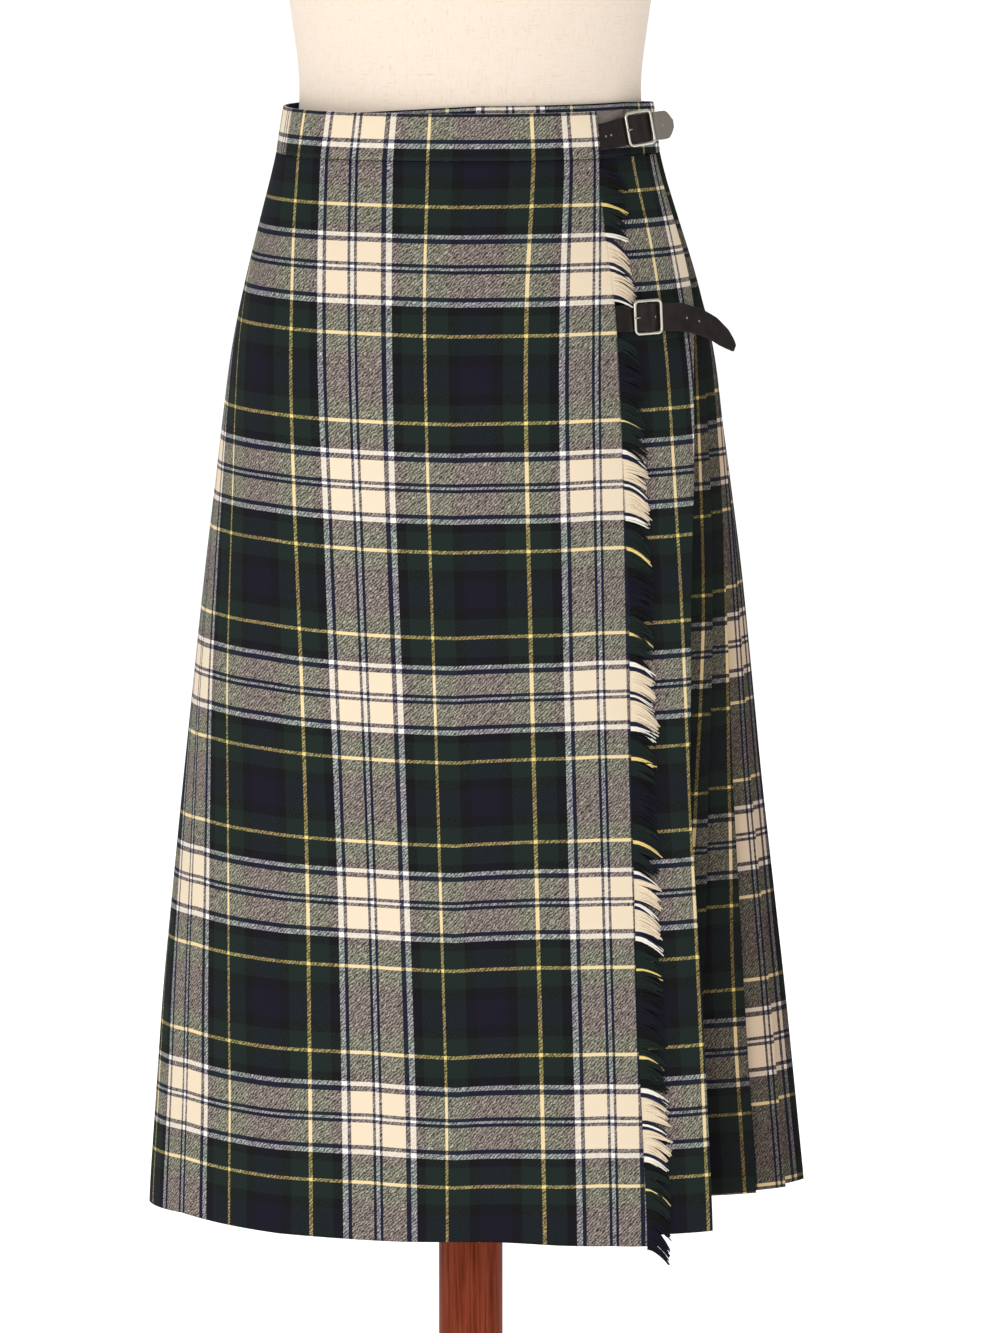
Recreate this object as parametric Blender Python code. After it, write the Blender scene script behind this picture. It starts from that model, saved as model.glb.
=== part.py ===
# Kilt skirt on a limbless dress form, worked out in metres with +Z up.
# +X is the wearer's left, where the buckles are, and the front faces -Y.
# The origin is the middle of the base's underside, under the pole.
import math

import bmesh
import bpy
import numpy as np
from mathutils import Matrix, Vector

WHOLE = "kilt_on_form"
MM = 0.001
GAP = 0.3 * MM

# Cloth and waistband
CLOTH = 1.0 * MM
BAND = 2.5 * MM
BAND_TOP = 1058 * MM
BAND_BOTTOM = 1026 * MM
SEAM = BAND_BOTTOM - GAP

# The cloth's outer outline, level by level: half widths and depths from the pole's axis,
# how square the left front corner is, the outer apron's free edge, and how far the
# pleats at the right front stand back from the aprons. All in millimetres but the second last.
OUTLINE_COLUMNS = ("level", "right", "left", "front", "back", "square", "free_edge", "recess")
OUTLINE = (
    (1058, 126.5, 128.5, 100, 94, 2.2, 86.5, 0),
    (1026, 130.5, 134.0, 105, 97, 2.2, 88.5, 0),
    (985, 143.0, 144.7, 118, 106, 2.4, 91.0, 0),
    (940, 157.5, 156.0, 132, 118, 2.5, 98.5, 0),
    (890, 170.0, 166.5, 144, 130, 2.5, 101.5, 6),
    (735, 189.7, 185.6, 155, 140, 2.2, 109.0, 18),
    (590, 204.4, 201.5, 157, 144, 2.0, 112.0, 25),
    (440, 221.0, 217.0, 156, 148, 1.95, 116.0, 30),
    (285, 236.0, 228.6, 153, 152, 1.9, 123.5, 34),
)

# Fold edges of the pleats that show beside the fringe, as degrees round from the front,
# and the pleats' depth and fold size in millimetres.
FOLD_COLUMNS = ("level", "panel", "tucked", "first", "second", "third", "fourth", "depth", "fold")
FOLDS = (
    (1026, 77.0, 77.0, 84.0, 91.0, 98.0, 105.0, 5.4, 2.0),
    (985, 78.0, 78.0, 85.0, 92.0, 99.0, 106.0, 5.4, 2.0),
    (940, 77.0, 76.0, 83.0, 90.0, 97.0, 104.0, 5.6, 2.0),
    (890, 65.0, 64.0, 72.0, 80.0, 88.0, 97.0, 6.4, 2.1),
    (735, 53.5, 54.0, 62.5, 69.0, 78.0, 90.0, 8.8, 2.5),
    (590, 47.6, 45.5, 54.0, 63.0, 73.0, 86.0, 10.8, 2.8),
    (440, 45.3, 39.0, 46.8, 58.0, 70.0, 85.0, 12.6, 3.1),
    (285, 44.0, 37.0, 44.8, 56.0, 68.0, 84.0, 14.0, 3.4),
)
HIDDEN_PLEATS = 18
LAST_FOLD = 262.0
UNDERLAP = 0.5
FACE_CUTS = 1
APRON_CUTS = 33
UNDER_APRON_CUTS = 18
BAND_CUTS = 64

# Hem heights: the aprons, the outer apron's free corner, the pleats beside it and the last pleat
HEM = 285 * MM
FREE_CORNER_HEM = 276 * MM
PLEAT_HEM = 303 * MM
LAST_PLEAT_HEM = 287 * MM
ROW_LEVELS = (1026, 985, 940, 890, 735, 590, 440, 285)

# Layers at the front
UNDER_LAY = 5.2 * MM
BACK_LAY = 3.7 * MM
UNDER_EDGE = -100 * MM
UNDER_CLEAR = 6 * MM

# The waistband goes round once and on over the front: degrees along it and how far in it lies.
# Its under end starts hidden behind its outer one, rises above it and falls level with it.
BAND_LAY = (
    (-46, UNDER_LAY),
    (57, UNDER_LAY),
    (85, 0.0),
    (100, 0.0),
    (130, BACK_LAY),
    (230, BACK_LAY),
    (262, 0.0),
    (403, 0.0),
)
BAND_LIFT = (
    (-46, -1.0 * MM),
    (-33, 0.0),
    (3, 5.0 * MM),
    (60, 5.0 * MM),
    (120, 0.0),
)
RING_START = -130.0
RING_END = 290.0

# Fringe
FRINGE_STRIP = 1.6 * MM
FRINGE_LOCKS = 120
FRINGE_TOP = 1020 * MM
LOCK_LENGTH = 19.0 * MM
LOCK_THICK = 0.8 * MM
LOCK_BARE = (12 * MM, 24 * MM)

# Straps and buckles
LEATHER = 1.8 * MM
WIRE = 1.1 * MM
BUCKLE_WIDTH = 21.2 * MM
BUCKLE_HEIGHT = 22.4 * MM
BUCKLE_CORNER = 3.0 * MM
WEAVE = 1.6 * MM
BAR = 0.8 * MM
TAB = 0.9 * MM
TAB_HEIGHT = 12 * MM
TAB_REACH = 15 * MM
STRAP_RUN = 6 * MM
STRAP_LEAN = 8 * MM
PRONG = 0.7 * MM
PRONG_HOLE = (5.4 * MM, 2.2 * MM)
WAIST_STRAP_LEVEL = 1041 * MM
HIP_STRAP_LEVEL = 918.3 * MM

# Each strap: millimetres along it from the cloth's edge, its turn inward in degrees,
# its drop and its width.
STRAP_COLUMNS = ("along", "turn", "drop", "width")
WAIST_STRAP = (
    (-5, 0, 0.4, 16.8),
    (0, 0, 0.0, 17.0),
    (12, 0, -1.2, 18.6),
    (22, 0, -2.3, 19.4),
    (40, 0, -4.2, 19.4),
    (52, 0, -5.1, 19.4),
    (58, 0, -5.5, 18.6),
    (63, 0, -5.9, 15.0),
    (66.5, 0, -6.2, 8.0),
)
HIP_STRAP = (
    (-5, 0, 0.0, 17.7),
    (0, 0, 0.0, 17.8),
    (10, 0, 0.0, 19.0),
    (20, 0, -0.2, 19.4),
    (38, 2, 0.0, 19.4),
    (56, 6, 1.2, 19.4),
    (72, 10, 5.4, 18.8),
    (84, 12, 10.8, 17.4),
    (94, 13, 18.0, 14.5),
    (100, 13, 23.5, 9.0),
    (102.5, 13, 26.5, 4.5),
)

# Dress form: level, half width at the side, depth to the front and to the back, in millimetres
FORM = (
    (762, 112, 88, 84),
    (766, 134, 104, 100),
    (782, 152, 118, 114),
    (812, 161, 128, 119),
    (840, 162, 130, 119),
    (890, 158, 129.5, 117),
    (940, 147, 120, 106.5),
    (985, 133.5, 107, 96.5),
    (1026, 121.0, 96.4, 90.0),
    (1066, 118.2, 91.3, 86.8),
    (1085, 119.0, 91.4, 87.0),
    (1132, 125.5, 95.0, 92.0),
    (1200, 138, 112, 98),
    (1265, 146, 127, 103),
    (1330, 152, 118, 105),
    (1385, 166, 98, 99),
    (1412, 160, 82, 86),
    (1434, 126, 66, 70),
    (1452, 84, 55, 58),
    (1476, 59, 50, 51),
    (1520, 53, 47, 48),
)
FORM_SIDES = 36

# Stand
POLE_RADIUS = 22.5 * MM
BASE_RADIUS = 200 * MM
BASE_HEIGHT = 28 * MM
COLLAR_RADIUS = 44 * MM
COLLAR_HEIGHT = 34 * MM
CAP_RADIUS = 50 * MM
CAP_HEIGHT = 14 * MM
WOOD_EDGE = 8 * MM
ROUND_SIDES = 32


def column(table, names, name, height):
    """Read one column of a table at a height in metres, straight between its rows."""
    levels = [row[0] * MM for row in table]
    values = [row[names.index(name)] for row in table]
    if levels[0] > levels[-1]:
        levels.reverse()
        values.reverse()
    return float(np.interp(height, levels, values))


def outline(name, height):
    return column(OUTLINE, OUTLINE_COLUMNS, name, height)


def fold(name, height):
    return column(FOLDS, FOLD_COLUMNS, name, height)


class Ring:
    """The outline at one height, measured along its length from the front centre."""

    def __init__(self, height, recessed=False):
        back_from_front = outline("recess", height) if recessed else 0.0
        front = outline("front", height) - back_from_front
        square = outline("square", height)
        self.degrees = np.linspace(RING_START, RING_END, 1261)
        angle = np.radians(self.degrees)
        left_front = (np.sin(angle) < 0) & (np.cos(angle) > 0)
        power = np.where(left_front, 2.0 / square, 1.0)
        width = np.where(np.sin(angle) > 0, outline("right", height), outline("left", height))
        depth = np.where(np.cos(angle) > 0, front, outline("back", height))
        self.x = width * np.sign(np.sin(angle)) * np.abs(np.sin(angle)) ** power * MM
        self.y = -depth * np.sign(np.cos(angle)) * np.abs(np.cos(angle)) ** power * MM
        steps = np.hypot(np.diff(self.x), np.diff(self.y))
        self.length = np.concatenate(([0.0], np.cumsum(steps)))
        self.length -= np.interp(0.0, self.degrees, self.length)

    def at_degrees(self, degrees):
        return float(np.interp(degrees, self.degrees, self.length))

    def at_x(self, x):
        """The place along the right front where the outline has this x."""
        front = (self.degrees >= 0.0) & (self.degrees <= 90.0)
        return float(np.interp(x, self.x[front], self.length[front]))

    def point(self, along, inward):
        """A plan point: so far along the outline and so far in from it."""
        step = 1.5 * MM
        ends = [along - step, along + step]
        x = np.interp(ends, self.length, self.x)
        y = np.interp(ends, self.length, self.y)
        run = math.hypot(x[1] - x[0], y[1] - y[0])
        normal = (-(y[1] - y[0]) / run, (x[1] - x[0]) / run)
        here_x = float(np.interp(along, self.length, self.x))
        here_y = float(np.interp(along, self.length, self.y))
        return here_x + normal[0] * inward, here_y + normal[1] * inward


def free_length(ring, height):
    """How far along the outline the outer apron's free edge is."""
    return ring.at_x(outline("free_edge", height) * MM)


def smooth(value):
    value = min(max(value, 0.0), 1.0)
    return value * value * (3.0 - 2.0 * value)


def row_height(level, hem):
    """The height of a row where the cloth below the band ends at this hem."""
    part = (ROW_LEVELS[0] - level) / (ROW_LEVELS[0] - ROW_LEVELS[-1])
    return SEAM - part * (SEAM - hem)


def thicken(points, thickness):
    """Offset an open plan line to both sides, mitred at its corners."""
    points = np.array(points)
    runs = np.diff(points, axis=0)
    runs /= np.linalg.norm(runs, axis=1)[:, None]
    before = np.vstack((runs[:1], runs))
    after = np.vstack((runs, runs[-1:]))
    middle = before + after
    middle /= np.linalg.norm(middle, axis=1)[:, None]
    normal = np.column_stack((-middle[:, 1], middle[:, 0]))
    stretch = 1.0 / np.maximum(np.sum(middle * after, axis=1), 0.6)
    shift = normal * (stretch * thickness / 2)[:, None]
    return points + shift, points - shift


def material(name, colour, roughness, metallic):
    made = bpy.data.materials.new(name)
    made.use_nodes = True
    shader = made.node_tree.nodes["Principled BSDF"]
    shader.inputs["Base Color"].default_value = (*colour, 1.0)
    shader.inputs["Roughness"].default_value = roughness
    shader.inputs["Metallic"].default_value = metallic
    return made


def finish(mesh_tools, name, look, smooth_angle=None):
    """Turn a bmesh into a named object with its faces pointing out."""
    bmesh.ops.triangulate(mesh_tools, faces=mesh_tools.faces)
    bmesh.ops.recalc_face_normals(mesh_tools, faces=mesh_tools.faces)
    mesh = bpy.data.meshes.new(name)
    mesh_tools.to_mesh(mesh)
    mesh_tools.free()
    made = bpy.data.objects.new(name, mesh)
    bpy.context.collection.objects.link(made)
    if look:
        kind, colour, roughness, metallic = look
        mesh.materials.append(material(name + " " + kind, colour, roughness, metallic))
        made.parent = bpy.data.objects[WHOLE]
    if smooth_angle is not None:
        mesh.shade_smooth()
        mesh.set_sharp_from_angle(angle=math.radians(smooth_angle))
    return made


def slab(name, rows, look):
    """A closed wall from rows of (outer point, inner point) pairs, top row first."""
    tools = bmesh.new()
    grid = [[(tools.verts.new(a), tools.verts.new(b)) for a, b in row] for row in rows]
    across = len(grid[0])
    for upper, lower in zip(grid, grid[1:]):
        for i in range(across - 1):
            tools.faces.new((upper[i][0], lower[i][0], lower[i + 1][0], upper[i + 1][0]))
            tools.faces.new((upper[i][1], upper[i + 1][1], lower[i + 1][1], lower[i][1]))
        for i in (0, across - 1):
            tools.faces.new((upper[i][0], upper[i][1], lower[i][1], lower[i][0]))
    for edge in (grid[0], grid[-1]):
        for i in range(across - 1):
            tools.faces.new((edge[i][0], edge[i + 1][0], edge[i + 1][1], edge[i][1]))
    return finish(tools, name, look, 40)


def cloth_wall(name, line_at, look, thickness=CLOTH, levels=ROW_LEVELS):
    """A cloth wall: line_at(level) gives its middle line as (x, y, height) points."""
    rows = []
    for level in levels:
        line = line_at(level)
        outer, inner = thicken([(x, y) for x, y, _ in line], thickness)
        rows.append([
            ((*outer[i], line[i][2]), (*inner[i], line[i][2]))
            for i in range(len(line))
        ])
    return slab(name, rows, look)


def spread(start, end, cuts):
    """Points evenly from start to end, with both ends."""
    return [start + (end - start) * i / (cuts + 1) for i in range(cuts + 2)]


def fold_places(ring, level_height):
    """Fold edges along the pleats' ring: the tucked start, the four that show, the rest."""
    names = ("tucked", "first", "second", "third", "fourth")
    places = [ring.at_degrees(fold(name, level_height)) for name in names]
    last = ring.at_degrees(LAST_FOLD)
    return places + spread(places[-1], last, HIDDEN_PLEATS - 1)[1:]


def pleat_hem(count, total):
    """The hem is a little higher beside the fringe than at the last pleat."""
    share = smooth((count - 5) / (total - 5))
    return PLEAT_HEM + (LAST_PLEAT_HEM - PLEAT_HEM) * share


def pleat_line(level, first, last):
    """The middle line of pleats first..last at one level, from inner fold to inner fold."""
    nominal = level * MM
    line = []
    folds_here = fold_places(Ring(nominal, True), nominal)
    total = len(folds_here) - 1
    for count in range(first, last + 1):
        height = row_height(level, pleat_hem(count, total))
        ring = Ring(height, True)
        places = fold_places(ring, height)
        depth = fold("depth", height) * MM
        size = fold("fold", height) * MM
        before, edge = places[count - 1], places[count]
        reach = edge - before
        lap = UNDERLAP * reach
        lap_before = UNDERLAP * (places[count - 1] - places[count - 2]) if count > 1 else lap
        outer, inner = CLOTH / 2, CLOTH / 2 + depth
        start = (before - lap_before, inner)
        path = []
        if count > first:
            path.append((start[0] - size / 2, inner - size / 2))
        for along in spread(start[0], edge - size / 2, FACE_CUTS):
            share = (along - start[0]) / (edge - start[0])
            path.append((along, inner - depth * share))
        path.append((edge, outer + size / 2))
        path.append((edge - size / 2, outer + size))
        if count < last:
            path.append((edge - lap, inner - size))
        else:
            path.append((edge - lap, inner - CLOTH - GAP))
        line += [(*ring.point(a, i), height) for a, i in path]
    return line


def outer_apron_line(level):
    """The outer apron: out from under the last pleat, round the left and over the front."""
    line = []
    nominal = Ring(level * MM)
    back_edge = nominal.at_degrees(LAST_FOLD - 360.0)
    free_edge = free_length(nominal, level * MM)
    for share in spread(0.0, 1.0, APRON_CUTS):
        from_front = (back_edge + (free_edge - back_edge) * share) / free_edge
        if from_front < 0:
            hem = HEM + (LAST_PLEAT_HEM - HEM) * smooth(1.0 - 4.0 * share)
        else:
            hem = HEM + (FREE_CORNER_HEM - HEM) * smooth(from_front)
        height = row_height(level, hem)
        ring = Ring(height)
        edge = ring.at_degrees(LAST_FOLD - 360.0)
        places = fold_places(Ring(height, True), height)
        reach = places[-1] - places[-2]
        start = edge - UNDERLAP * reach
        along = start + (free_length(ring, height) - start) * share
        depth = fold("depth", height) * MM
        sunk = depth * max(0.0, 1.0 - (along - start) / (1.0 + UNDERLAP) / reach)
        line.append((*ring.point(along, CLOTH / 2 + sunk), height))
    return line


def under_lay(ring, height, along):
    """How far the under apron lies in from the outline."""
    panel = ring.at_degrees(fold("panel", height))
    clear = free_length(ring, height) + UNDER_CLEAR
    return UNDER_LAY * (1.0 - smooth((along - clear) / (panel - clear)))


def under_apron_line(level):
    """The under apron: from its hidden free edge to the panel beside the fringe, folded back."""
    height = row_height(level, HEM)
    ring = Ring(height)
    size = fold("fold", height) * MM
    panel = ring.at_degrees(fold("panel", height))
    line = []
    for along in spread(UNDER_EDGE, panel - size / 2, UNDER_APRON_CUTS):
        inward = CLOTH / 2 + under_lay(ring, height, along)
        line.append((*ring.point(along, inward), height))
    inward = CLOTH / 2 + under_lay(ring, height, panel)
    line.append((*ring.point(panel, inward + size / 2), height))
    line.append((*ring.point(panel - size / 2, inward + size), height))
    seam_height = row_height(level, PLEAT_HEM)
    pleats = Ring(seam_height, True)
    places = fold_places(pleats, seam_height)
    lap = UNDERLAP * (places[1] - places[0])
    depth = CLOTH / 2 + fold("depth", seam_height) * MM
    end = pleats.point(places[0] - lap, depth - CLOTH - GAP)
    start = line[-1]
    for share in (0.5, 1.0):
        line.append(tuple(a + (b - a) * share for a, b in zip(start, (*end, seam_height))))
    return line


def step_through(table, degrees):
    """A value that the band has so many degrees along it from the front, between its rows."""
    return float(np.interp(degrees, [row[0] for row in table], [row[1] for row in table]))


def waistband_line(level):
    """The band's middle line, its under end standing a little higher than its outer one."""
    top = Ring(BAND_TOP)
    end = float(np.interp(free_length(top, BAND_TOP), top.length, top.degrees))
    base = Ring(level)
    line = []
    for degrees in spread(BAND_LAY[0][0], 360.0 + end, BAND_CUTS):
        turned = degrees if degrees < RING_END else degrees - 360.0
        x, y = base.point(base.at_degrees(turned), BAND / 2 + step_through(BAND_LAY, degrees))
        rise = step_through(BAND_LIFT, degrees)
        line.append((x, y, level + (rise if level == BAND_TOP else 0.0)))
    return line


def fringe(look):
    """Locks of drawn yarns: a narrow strip beside the free edge with each lock pulled out of it."""
    tools = bmesh.new()
    bottom = FREE_CORNER_HEM + 1 * MM
    cells = FRINGE_LOCKS * 2 + 1
    heights = [FRINGE_TOP + (bottom - FRINGE_TOP) * i / cells for i in range(cells + 1)]

    def place(height, sideways, inward):
        ring = Ring(height)
        return (*ring.point(free_length(ring, height) + GAP + sideways, inward), height)

    near_out = [tools.verts.new(place(h, 0.0, 0.0)) for h in heights]
    near_in = [tools.verts.new(place(h, 0.0, LOCK_THICK)) for h in heights]
    far_out = [tools.verts.new(place(h, FRINGE_STRIP, 0.0)) for h in heights]
    far_in = [tools.verts.new(place(h, FRINGE_STRIP, LOCK_THICK)) for h in heights]
    for i in range(cells):
        tools.faces.new((near_out[i], near_out[i + 1], far_out[i + 1], far_out[i]))
        tools.faces.new((near_in[i], far_in[i], far_in[i + 1], near_in[i + 1]))
        tools.faces.new((near_out[i], near_in[i], near_in[i + 1], near_out[i + 1]))
        lock = i % 2 == 1 and not strap_crosses(heights[i])
        if not lock:
            tools.faces.new((far_out[i], far_out[i + 1], far_in[i + 1], far_in[i]))
            continue
        root = [far_out[i], far_out[i + 1], far_in[i + 1], far_in[i]]
        pull_lock(tools, root, heights[i], i)
    for i in (0, cells):
        tools.faces.new((near_out[i], far_out[i], far_in[i], near_in[i]))
    return finish(tools, "apron_fringe", look)


def strap_crosses(height):
    """No locks hang where the hip strap leaves the apron's edge."""
    below, above = LOCK_BARE
    return HIP_STRAP_LEVEL - below < height < HIP_STRAP_LEVEL + above


def pull_lock(tools, root, height, count):
    """Pull one lock out of a cell of the strip: out to the side, then drooping to its tip."""
    wave = math.sin(count * 2.3) + math.sin(count * 0.71)
    length = LOCK_LENGTH + wave * 0.9 * MM
    low = smooth((0.36 - height) / 0.08)
    droop = (0.42 + 0.06 * wave + 0.35 * low) * length
    ring = Ring(height)
    free = free_length(ring, height)
    for share, fall, narrow in ((0.5, 0.3, 1.0), (1.0, 1.0, 0.35)):
        middle = sum((corner.co for corner in root), Vector()) / 4
        to_side = length * (0.93 if low < 0.5 else 0.8) * share
        target = ring.point(free + GAP + FRINGE_STRIP + to_side, LOCK_THICK / 2)
        goal = Vector((*target, height - droop * fall))
        moved = [tools.verts.new(goal + (corner.co - middle) * narrow) for corner in root]
        for a in range(4):
            b = (a + 1) % 4
            tools.faces.new((root[a], root[b], moved[b], moved[a]))
        root = moved
    tools.faces.new(root)


class StrapFrame:
    """The straight line that a strap takes from the apron's free edge."""

    def __init__(self, level, inward):
        self.start = self.edge(level, inward)
        self.heading = (self.start - self.edge(level, inward, STRAP_RUN)).normalized()
        flat = Vector((self.heading.y, -self.heading.x, 0.0))
        along = self.edge(level + STRAP_LEAN, inward) - self.edge(level - STRAP_LEAN, inward)
        lean = along.dot(flat) / along.z
        self.up = (Vector((0, 0, 1)) + flat * lean).normalized()
        self.outward = (flat - Vector((0, 0, 1)) * lean).normalized()

    def edge(self, height, inward, before=0.0):
        ring = Ring(height)
        return Vector((*ring.point(free_length(ring, height) - before, inward), height))

    def point(self, along, outward=0.0, up=0.0):
        return self.start + self.heading * along + self.outward * outward + self.up * up


def weave(along, middle):
    """A strap passes under the frame's side bars and over its middle bar."""
    off = abs(along - middle)
    half = BUCKLE_WIDTH / 2
    if off > half * 1.5:
        return 0.0
    if off > half:
        return -WEAVE * smooth((half * 1.5 - off) / (half * 0.5))
    return -WEAVE * math.cos(math.pi * (1.0 - off / half))


def strap(name, frame, table, middle, look):
    """A leather strap lofted through its stations, with the prong's hole cut in it."""
    stations = []
    ends = [row[0] * MM for row in table]
    bends = [middle + BUCKLE_WIDTH / 2 * share for share in (-1.5, -1, -0.5, 0, 0.5, 1, 1.5)]
    wanted = sorted({round(value, 4) for value in ends + bends})
    place = frame.point(wanted[0])
    previous = wanted[0]
    for along in wanted:
        turn = math.radians(column(table, STRAP_COLUMNS, "turn", along))
        drop = column(table, STRAP_COLUMNS, "drop", along) * MM
        width = column(table, STRAP_COLUMNS, "width", along) * MM
        place = place + Matrix.Rotation(turn, 3, "Z") @ frame.heading * (along - previous)
        previous = along
        outward = Matrix.Rotation(turn, 3, "Z") @ frame.outward
        centre = place + outward * weave(along, middle) - frame.up * drop
        stations.append((centre, outward, width))
    tools = bmesh.new()
    rows = []
    for i, (centre, outward, width) in enumerate(stations):
        ahead = stations[min(i + 1, len(stations) - 1)][0] - stations[max(i - 1, 0)][0]
        across = ahead.cross(outward).normalized() * (width / 2)
        out = outward * (LEATHER / 2)
        sides = (across + out, across - out, -across - out, -across + out)
        rows.append([tools.verts.new(centre + side) for side in sides])
    for one, two in zip(rows, rows[1:]):
        for a in range(4):
            b = (a + 1) % 4
            tools.faces.new((one[a], one[b], two[b], two[a]))
    tools.faces.new(rows[0])
    tools.faces.new(rows[-1])
    return finish(tools, name, look, 40)


def rod(name, start, end, radius, sides, look):
    """A round bar between two points, closed at both ends."""
    length = (end - start).length
    tools = bmesh.new()
    turn = Vector((0, 0, 1)).rotation_difference(end - start).to_matrix().to_4x4()
    matrix = Matrix.Translation((start + end) / 2) @ turn
    bmesh.ops.create_cone(
        tools, cap_ends=True, segments=sides, radius1=radius, radius2=radius,
        depth=length, matrix=matrix,
    )
    return finish(tools, name, look, 40)


def join_solid(target, tool, operation):
    """Apply one boolean between two objects and take the tool away."""
    change = target.modifiers.new("join", "BOOLEAN")
    change.operation = operation
    change.object = tool
    change.solver = "EXACT"
    graph = bpy.context.evaluated_depsgraph_get()
    result = bpy.data.meshes.new_from_object(target.evaluated_get(graph))
    target.modifiers.clear()
    target.data = result
    bpy.data.objects.remove(tool)


def box_cutter(name, centre, axes, size):
    """A box to cut with, its axes along the three given directions."""
    tools = bmesh.new()
    turn = Matrix(axes).transposed().to_4x4()
    place = Matrix.Translation(centre) @ turn @ Matrix.Diagonal((*size, 1.0))
    bmesh.ops.create_cube(tools, size=1.0, matrix=place)
    return finish(tools, name, None)


def wire_loop(name, points, outward, look):
    """A closed loop of round wire through the given points."""
    tools = bmesh.new()
    rings = []
    sides = 8
    for i, point in enumerate(points):
        ahead = (points[(i + 1) % len(points)] - points[i - 1]).normalized()
        across = ahead.cross(outward).normalized()
        rings.append([
            tools.verts.new(
                point
                + across * WIRE * math.cos(2 * math.pi * s / sides)
                + outward * WIRE * math.sin(2 * math.pi * s / sides)
            )
            for s in range(sides)
        ])
    for i, one in enumerate(rings):
        two = rings[(i + 1) % len(rings)]
        for a in range(sides):
            b = (a + 1) % sides
            tools.faces.new((one[a], one[b], two[b], two[a]))
    return finish(tools, name, look, 50)


def buckle(label, frame, middle, drop, tilt, strap_made, metal, leather):
    """A wire frame with a middle bar behind the strap, its prong, and the tab that holds it."""
    half_w = BUCKLE_WIDTH / 2
    half_h = BUCKLE_HEIGHT / 2
    centre = frame.point(middle, 0.0, -drop)
    out = LEATHER / 2 + WIRE + GAP - WEAVE
    bar_depth = WEAVE - (LEATHER / 2 + GAP + TAB + GAP + BAR)
    up = frame.up * math.cos(tilt) - frame.heading * math.sin(tilt)
    side = frame.heading * math.cos(tilt) + frame.up * math.sin(tilt)
    points = []
    for sx, sy, first in ((1, 1, 0), (-1, 1, 90), (-1, -1, 180), (1, -1, 270)):
        for step in range(4):
            angle = math.radians(first + step * 30)
            a = sx * (half_w - BUCKLE_CORNER) + BUCKLE_CORNER * math.cos(angle)
            b = sy * (half_h - BUCKLE_CORNER) + BUCKLE_CORNER * math.sin(angle)
            points.append(centre + side * a + up * b + frame.outward * out)
    made = wire_loop(label + "_buckle", points, frame.outward, metal)
    for end in (up * half_h, -up * half_h):
        rail = centre + end + frame.outward * out
        behind = centre + end + frame.outward * (bar_depth - BAR * 0.5)
        join_solid(made, rod("arm", rail, behind, WIRE * 0.8, 8, metal), "UNION")
    bar = rod(
        "bar",
        centre - up * half_h + frame.outward * bar_depth,
        centre + up * half_h + frame.outward * bar_depth,
        BAR, 8, metal,
    )
    join_solid(made, bar, "UNION")
    hole_at = centre - side * (half_w * 0.5)
    hole = box_cutter("hole", hole_at, (side, up, frame.outward), (*PRONG_HOLE, 4 * LEATHER))
    join_solid(strap_made, hole, "DIFFERENCE")
    tip = centre - side * (half_w + WIRE * 0.6) + frame.outward * (out + WIRE + GAP + PRONG)
    root = centre - side * (half_w * 0.5 - PRONG_HOLE[0] / 2 + 1.4 * PRONG + GAP)
    rod(label + "_prong", root, tip, PRONG, 6, metal)
    buckle_tab(label, frame, centre, middle, bar_depth, up, leather)


def buckle_tab(label, frame, centre, middle, bar_depth, up, look):
    """The leather that turns over the middle bar and lies on the cloth behind it, sewn down."""
    level = frame.start.z
    ring = Ring(level)
    bar = centre + frame.outward * bar_depth
    reach = BAR + GAP + TAB / 2
    line = []
    for degrees in range(40, 271, 46):
        angle = math.radians(degrees)
        round_bar = frame.heading * math.cos(angle) + frame.outward * math.sin(angle)
        line.append((bar + round_bar * reach).xy)
    for share in (0.45, 0.7, 1.0):
        along = free_length(ring, level) + middle + TAB_REACH * share
        if label == "waist":
            lay = step_through(BAND_LAY, float(np.interp(along, ring.length, ring.degrees)))
        else:
            lay = under_lay(ring, level, along)
        line.append(ring.point(along, lay - GAP * 1.5 - TAB / 2))
    outer, inner = thicken(line, TAB)
    rows = []
    for height in (TAB_HEIGHT / 2, -TAB_HEIGHT / 2):
        shift = up * height + Vector((0, 0, centre.z))
        rows.append([
            (Vector((*a, 0.0)) + shift, Vector((*b, 0.0)) + shift)
            for a, b in zip(outer, inner)
        ])
    slab(label + "_tab", rows, look)


def build_skirt():
    plaid = ("tartan wool", (0.09, 0.11, 0.10), 0.9, 0.0)
    yarn = ("yarn", (0.35, 0.30, 0.22), 0.9, 0.0)
    band = ("wool", (0.22, 0.21, 0.17), 0.9, 0.0)
    total = HIDDEN_PLEATS + 4
    middle = total // 2
    cloth_wall("outer_apron", outer_apron_line, plaid)
    cloth_wall("under_apron", under_apron_line, plaid)
    cloth_wall("back_panel_right", lambda level: pleat_line(level, 1, middle), plaid)
    cloth_wall("back_panel_left", lambda level: pleat_line(level, middle + 1, total), plaid)
    cloth_wall("waistband", waistband_line, band, BAND, (BAND_TOP, BAND_BOTTOM))
    fringe(yarn)


def build_straps():
    leather = ("leather", (0.03, 0.024, 0.02), 0.45, 0.0)
    metal = ("nickel", (0.62, 0.59, 0.52), 0.35, 1.0)
    for label, level, table, layer, middle, drop, tilt in (
        ("waist", WAIST_STRAP_LEVEL, WAIST_STRAP, BAND, 38.6 * MM, -4.1 * MM, 6.0),
        ("hip", HIP_STRAP_LEVEL, HIP_STRAP, CLOTH, 27.4 * MM, -0.2 * MM, -1.0),
    ):
        frame = StrapFrame(level, layer + 1.5 * GAP + LEATHER / 2)
        strap_made = strap(label + "_strap", frame, table, middle, leather)
        buckle(label, frame, middle, drop, math.radians(tilt), strap_made, metal, leather)


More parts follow.
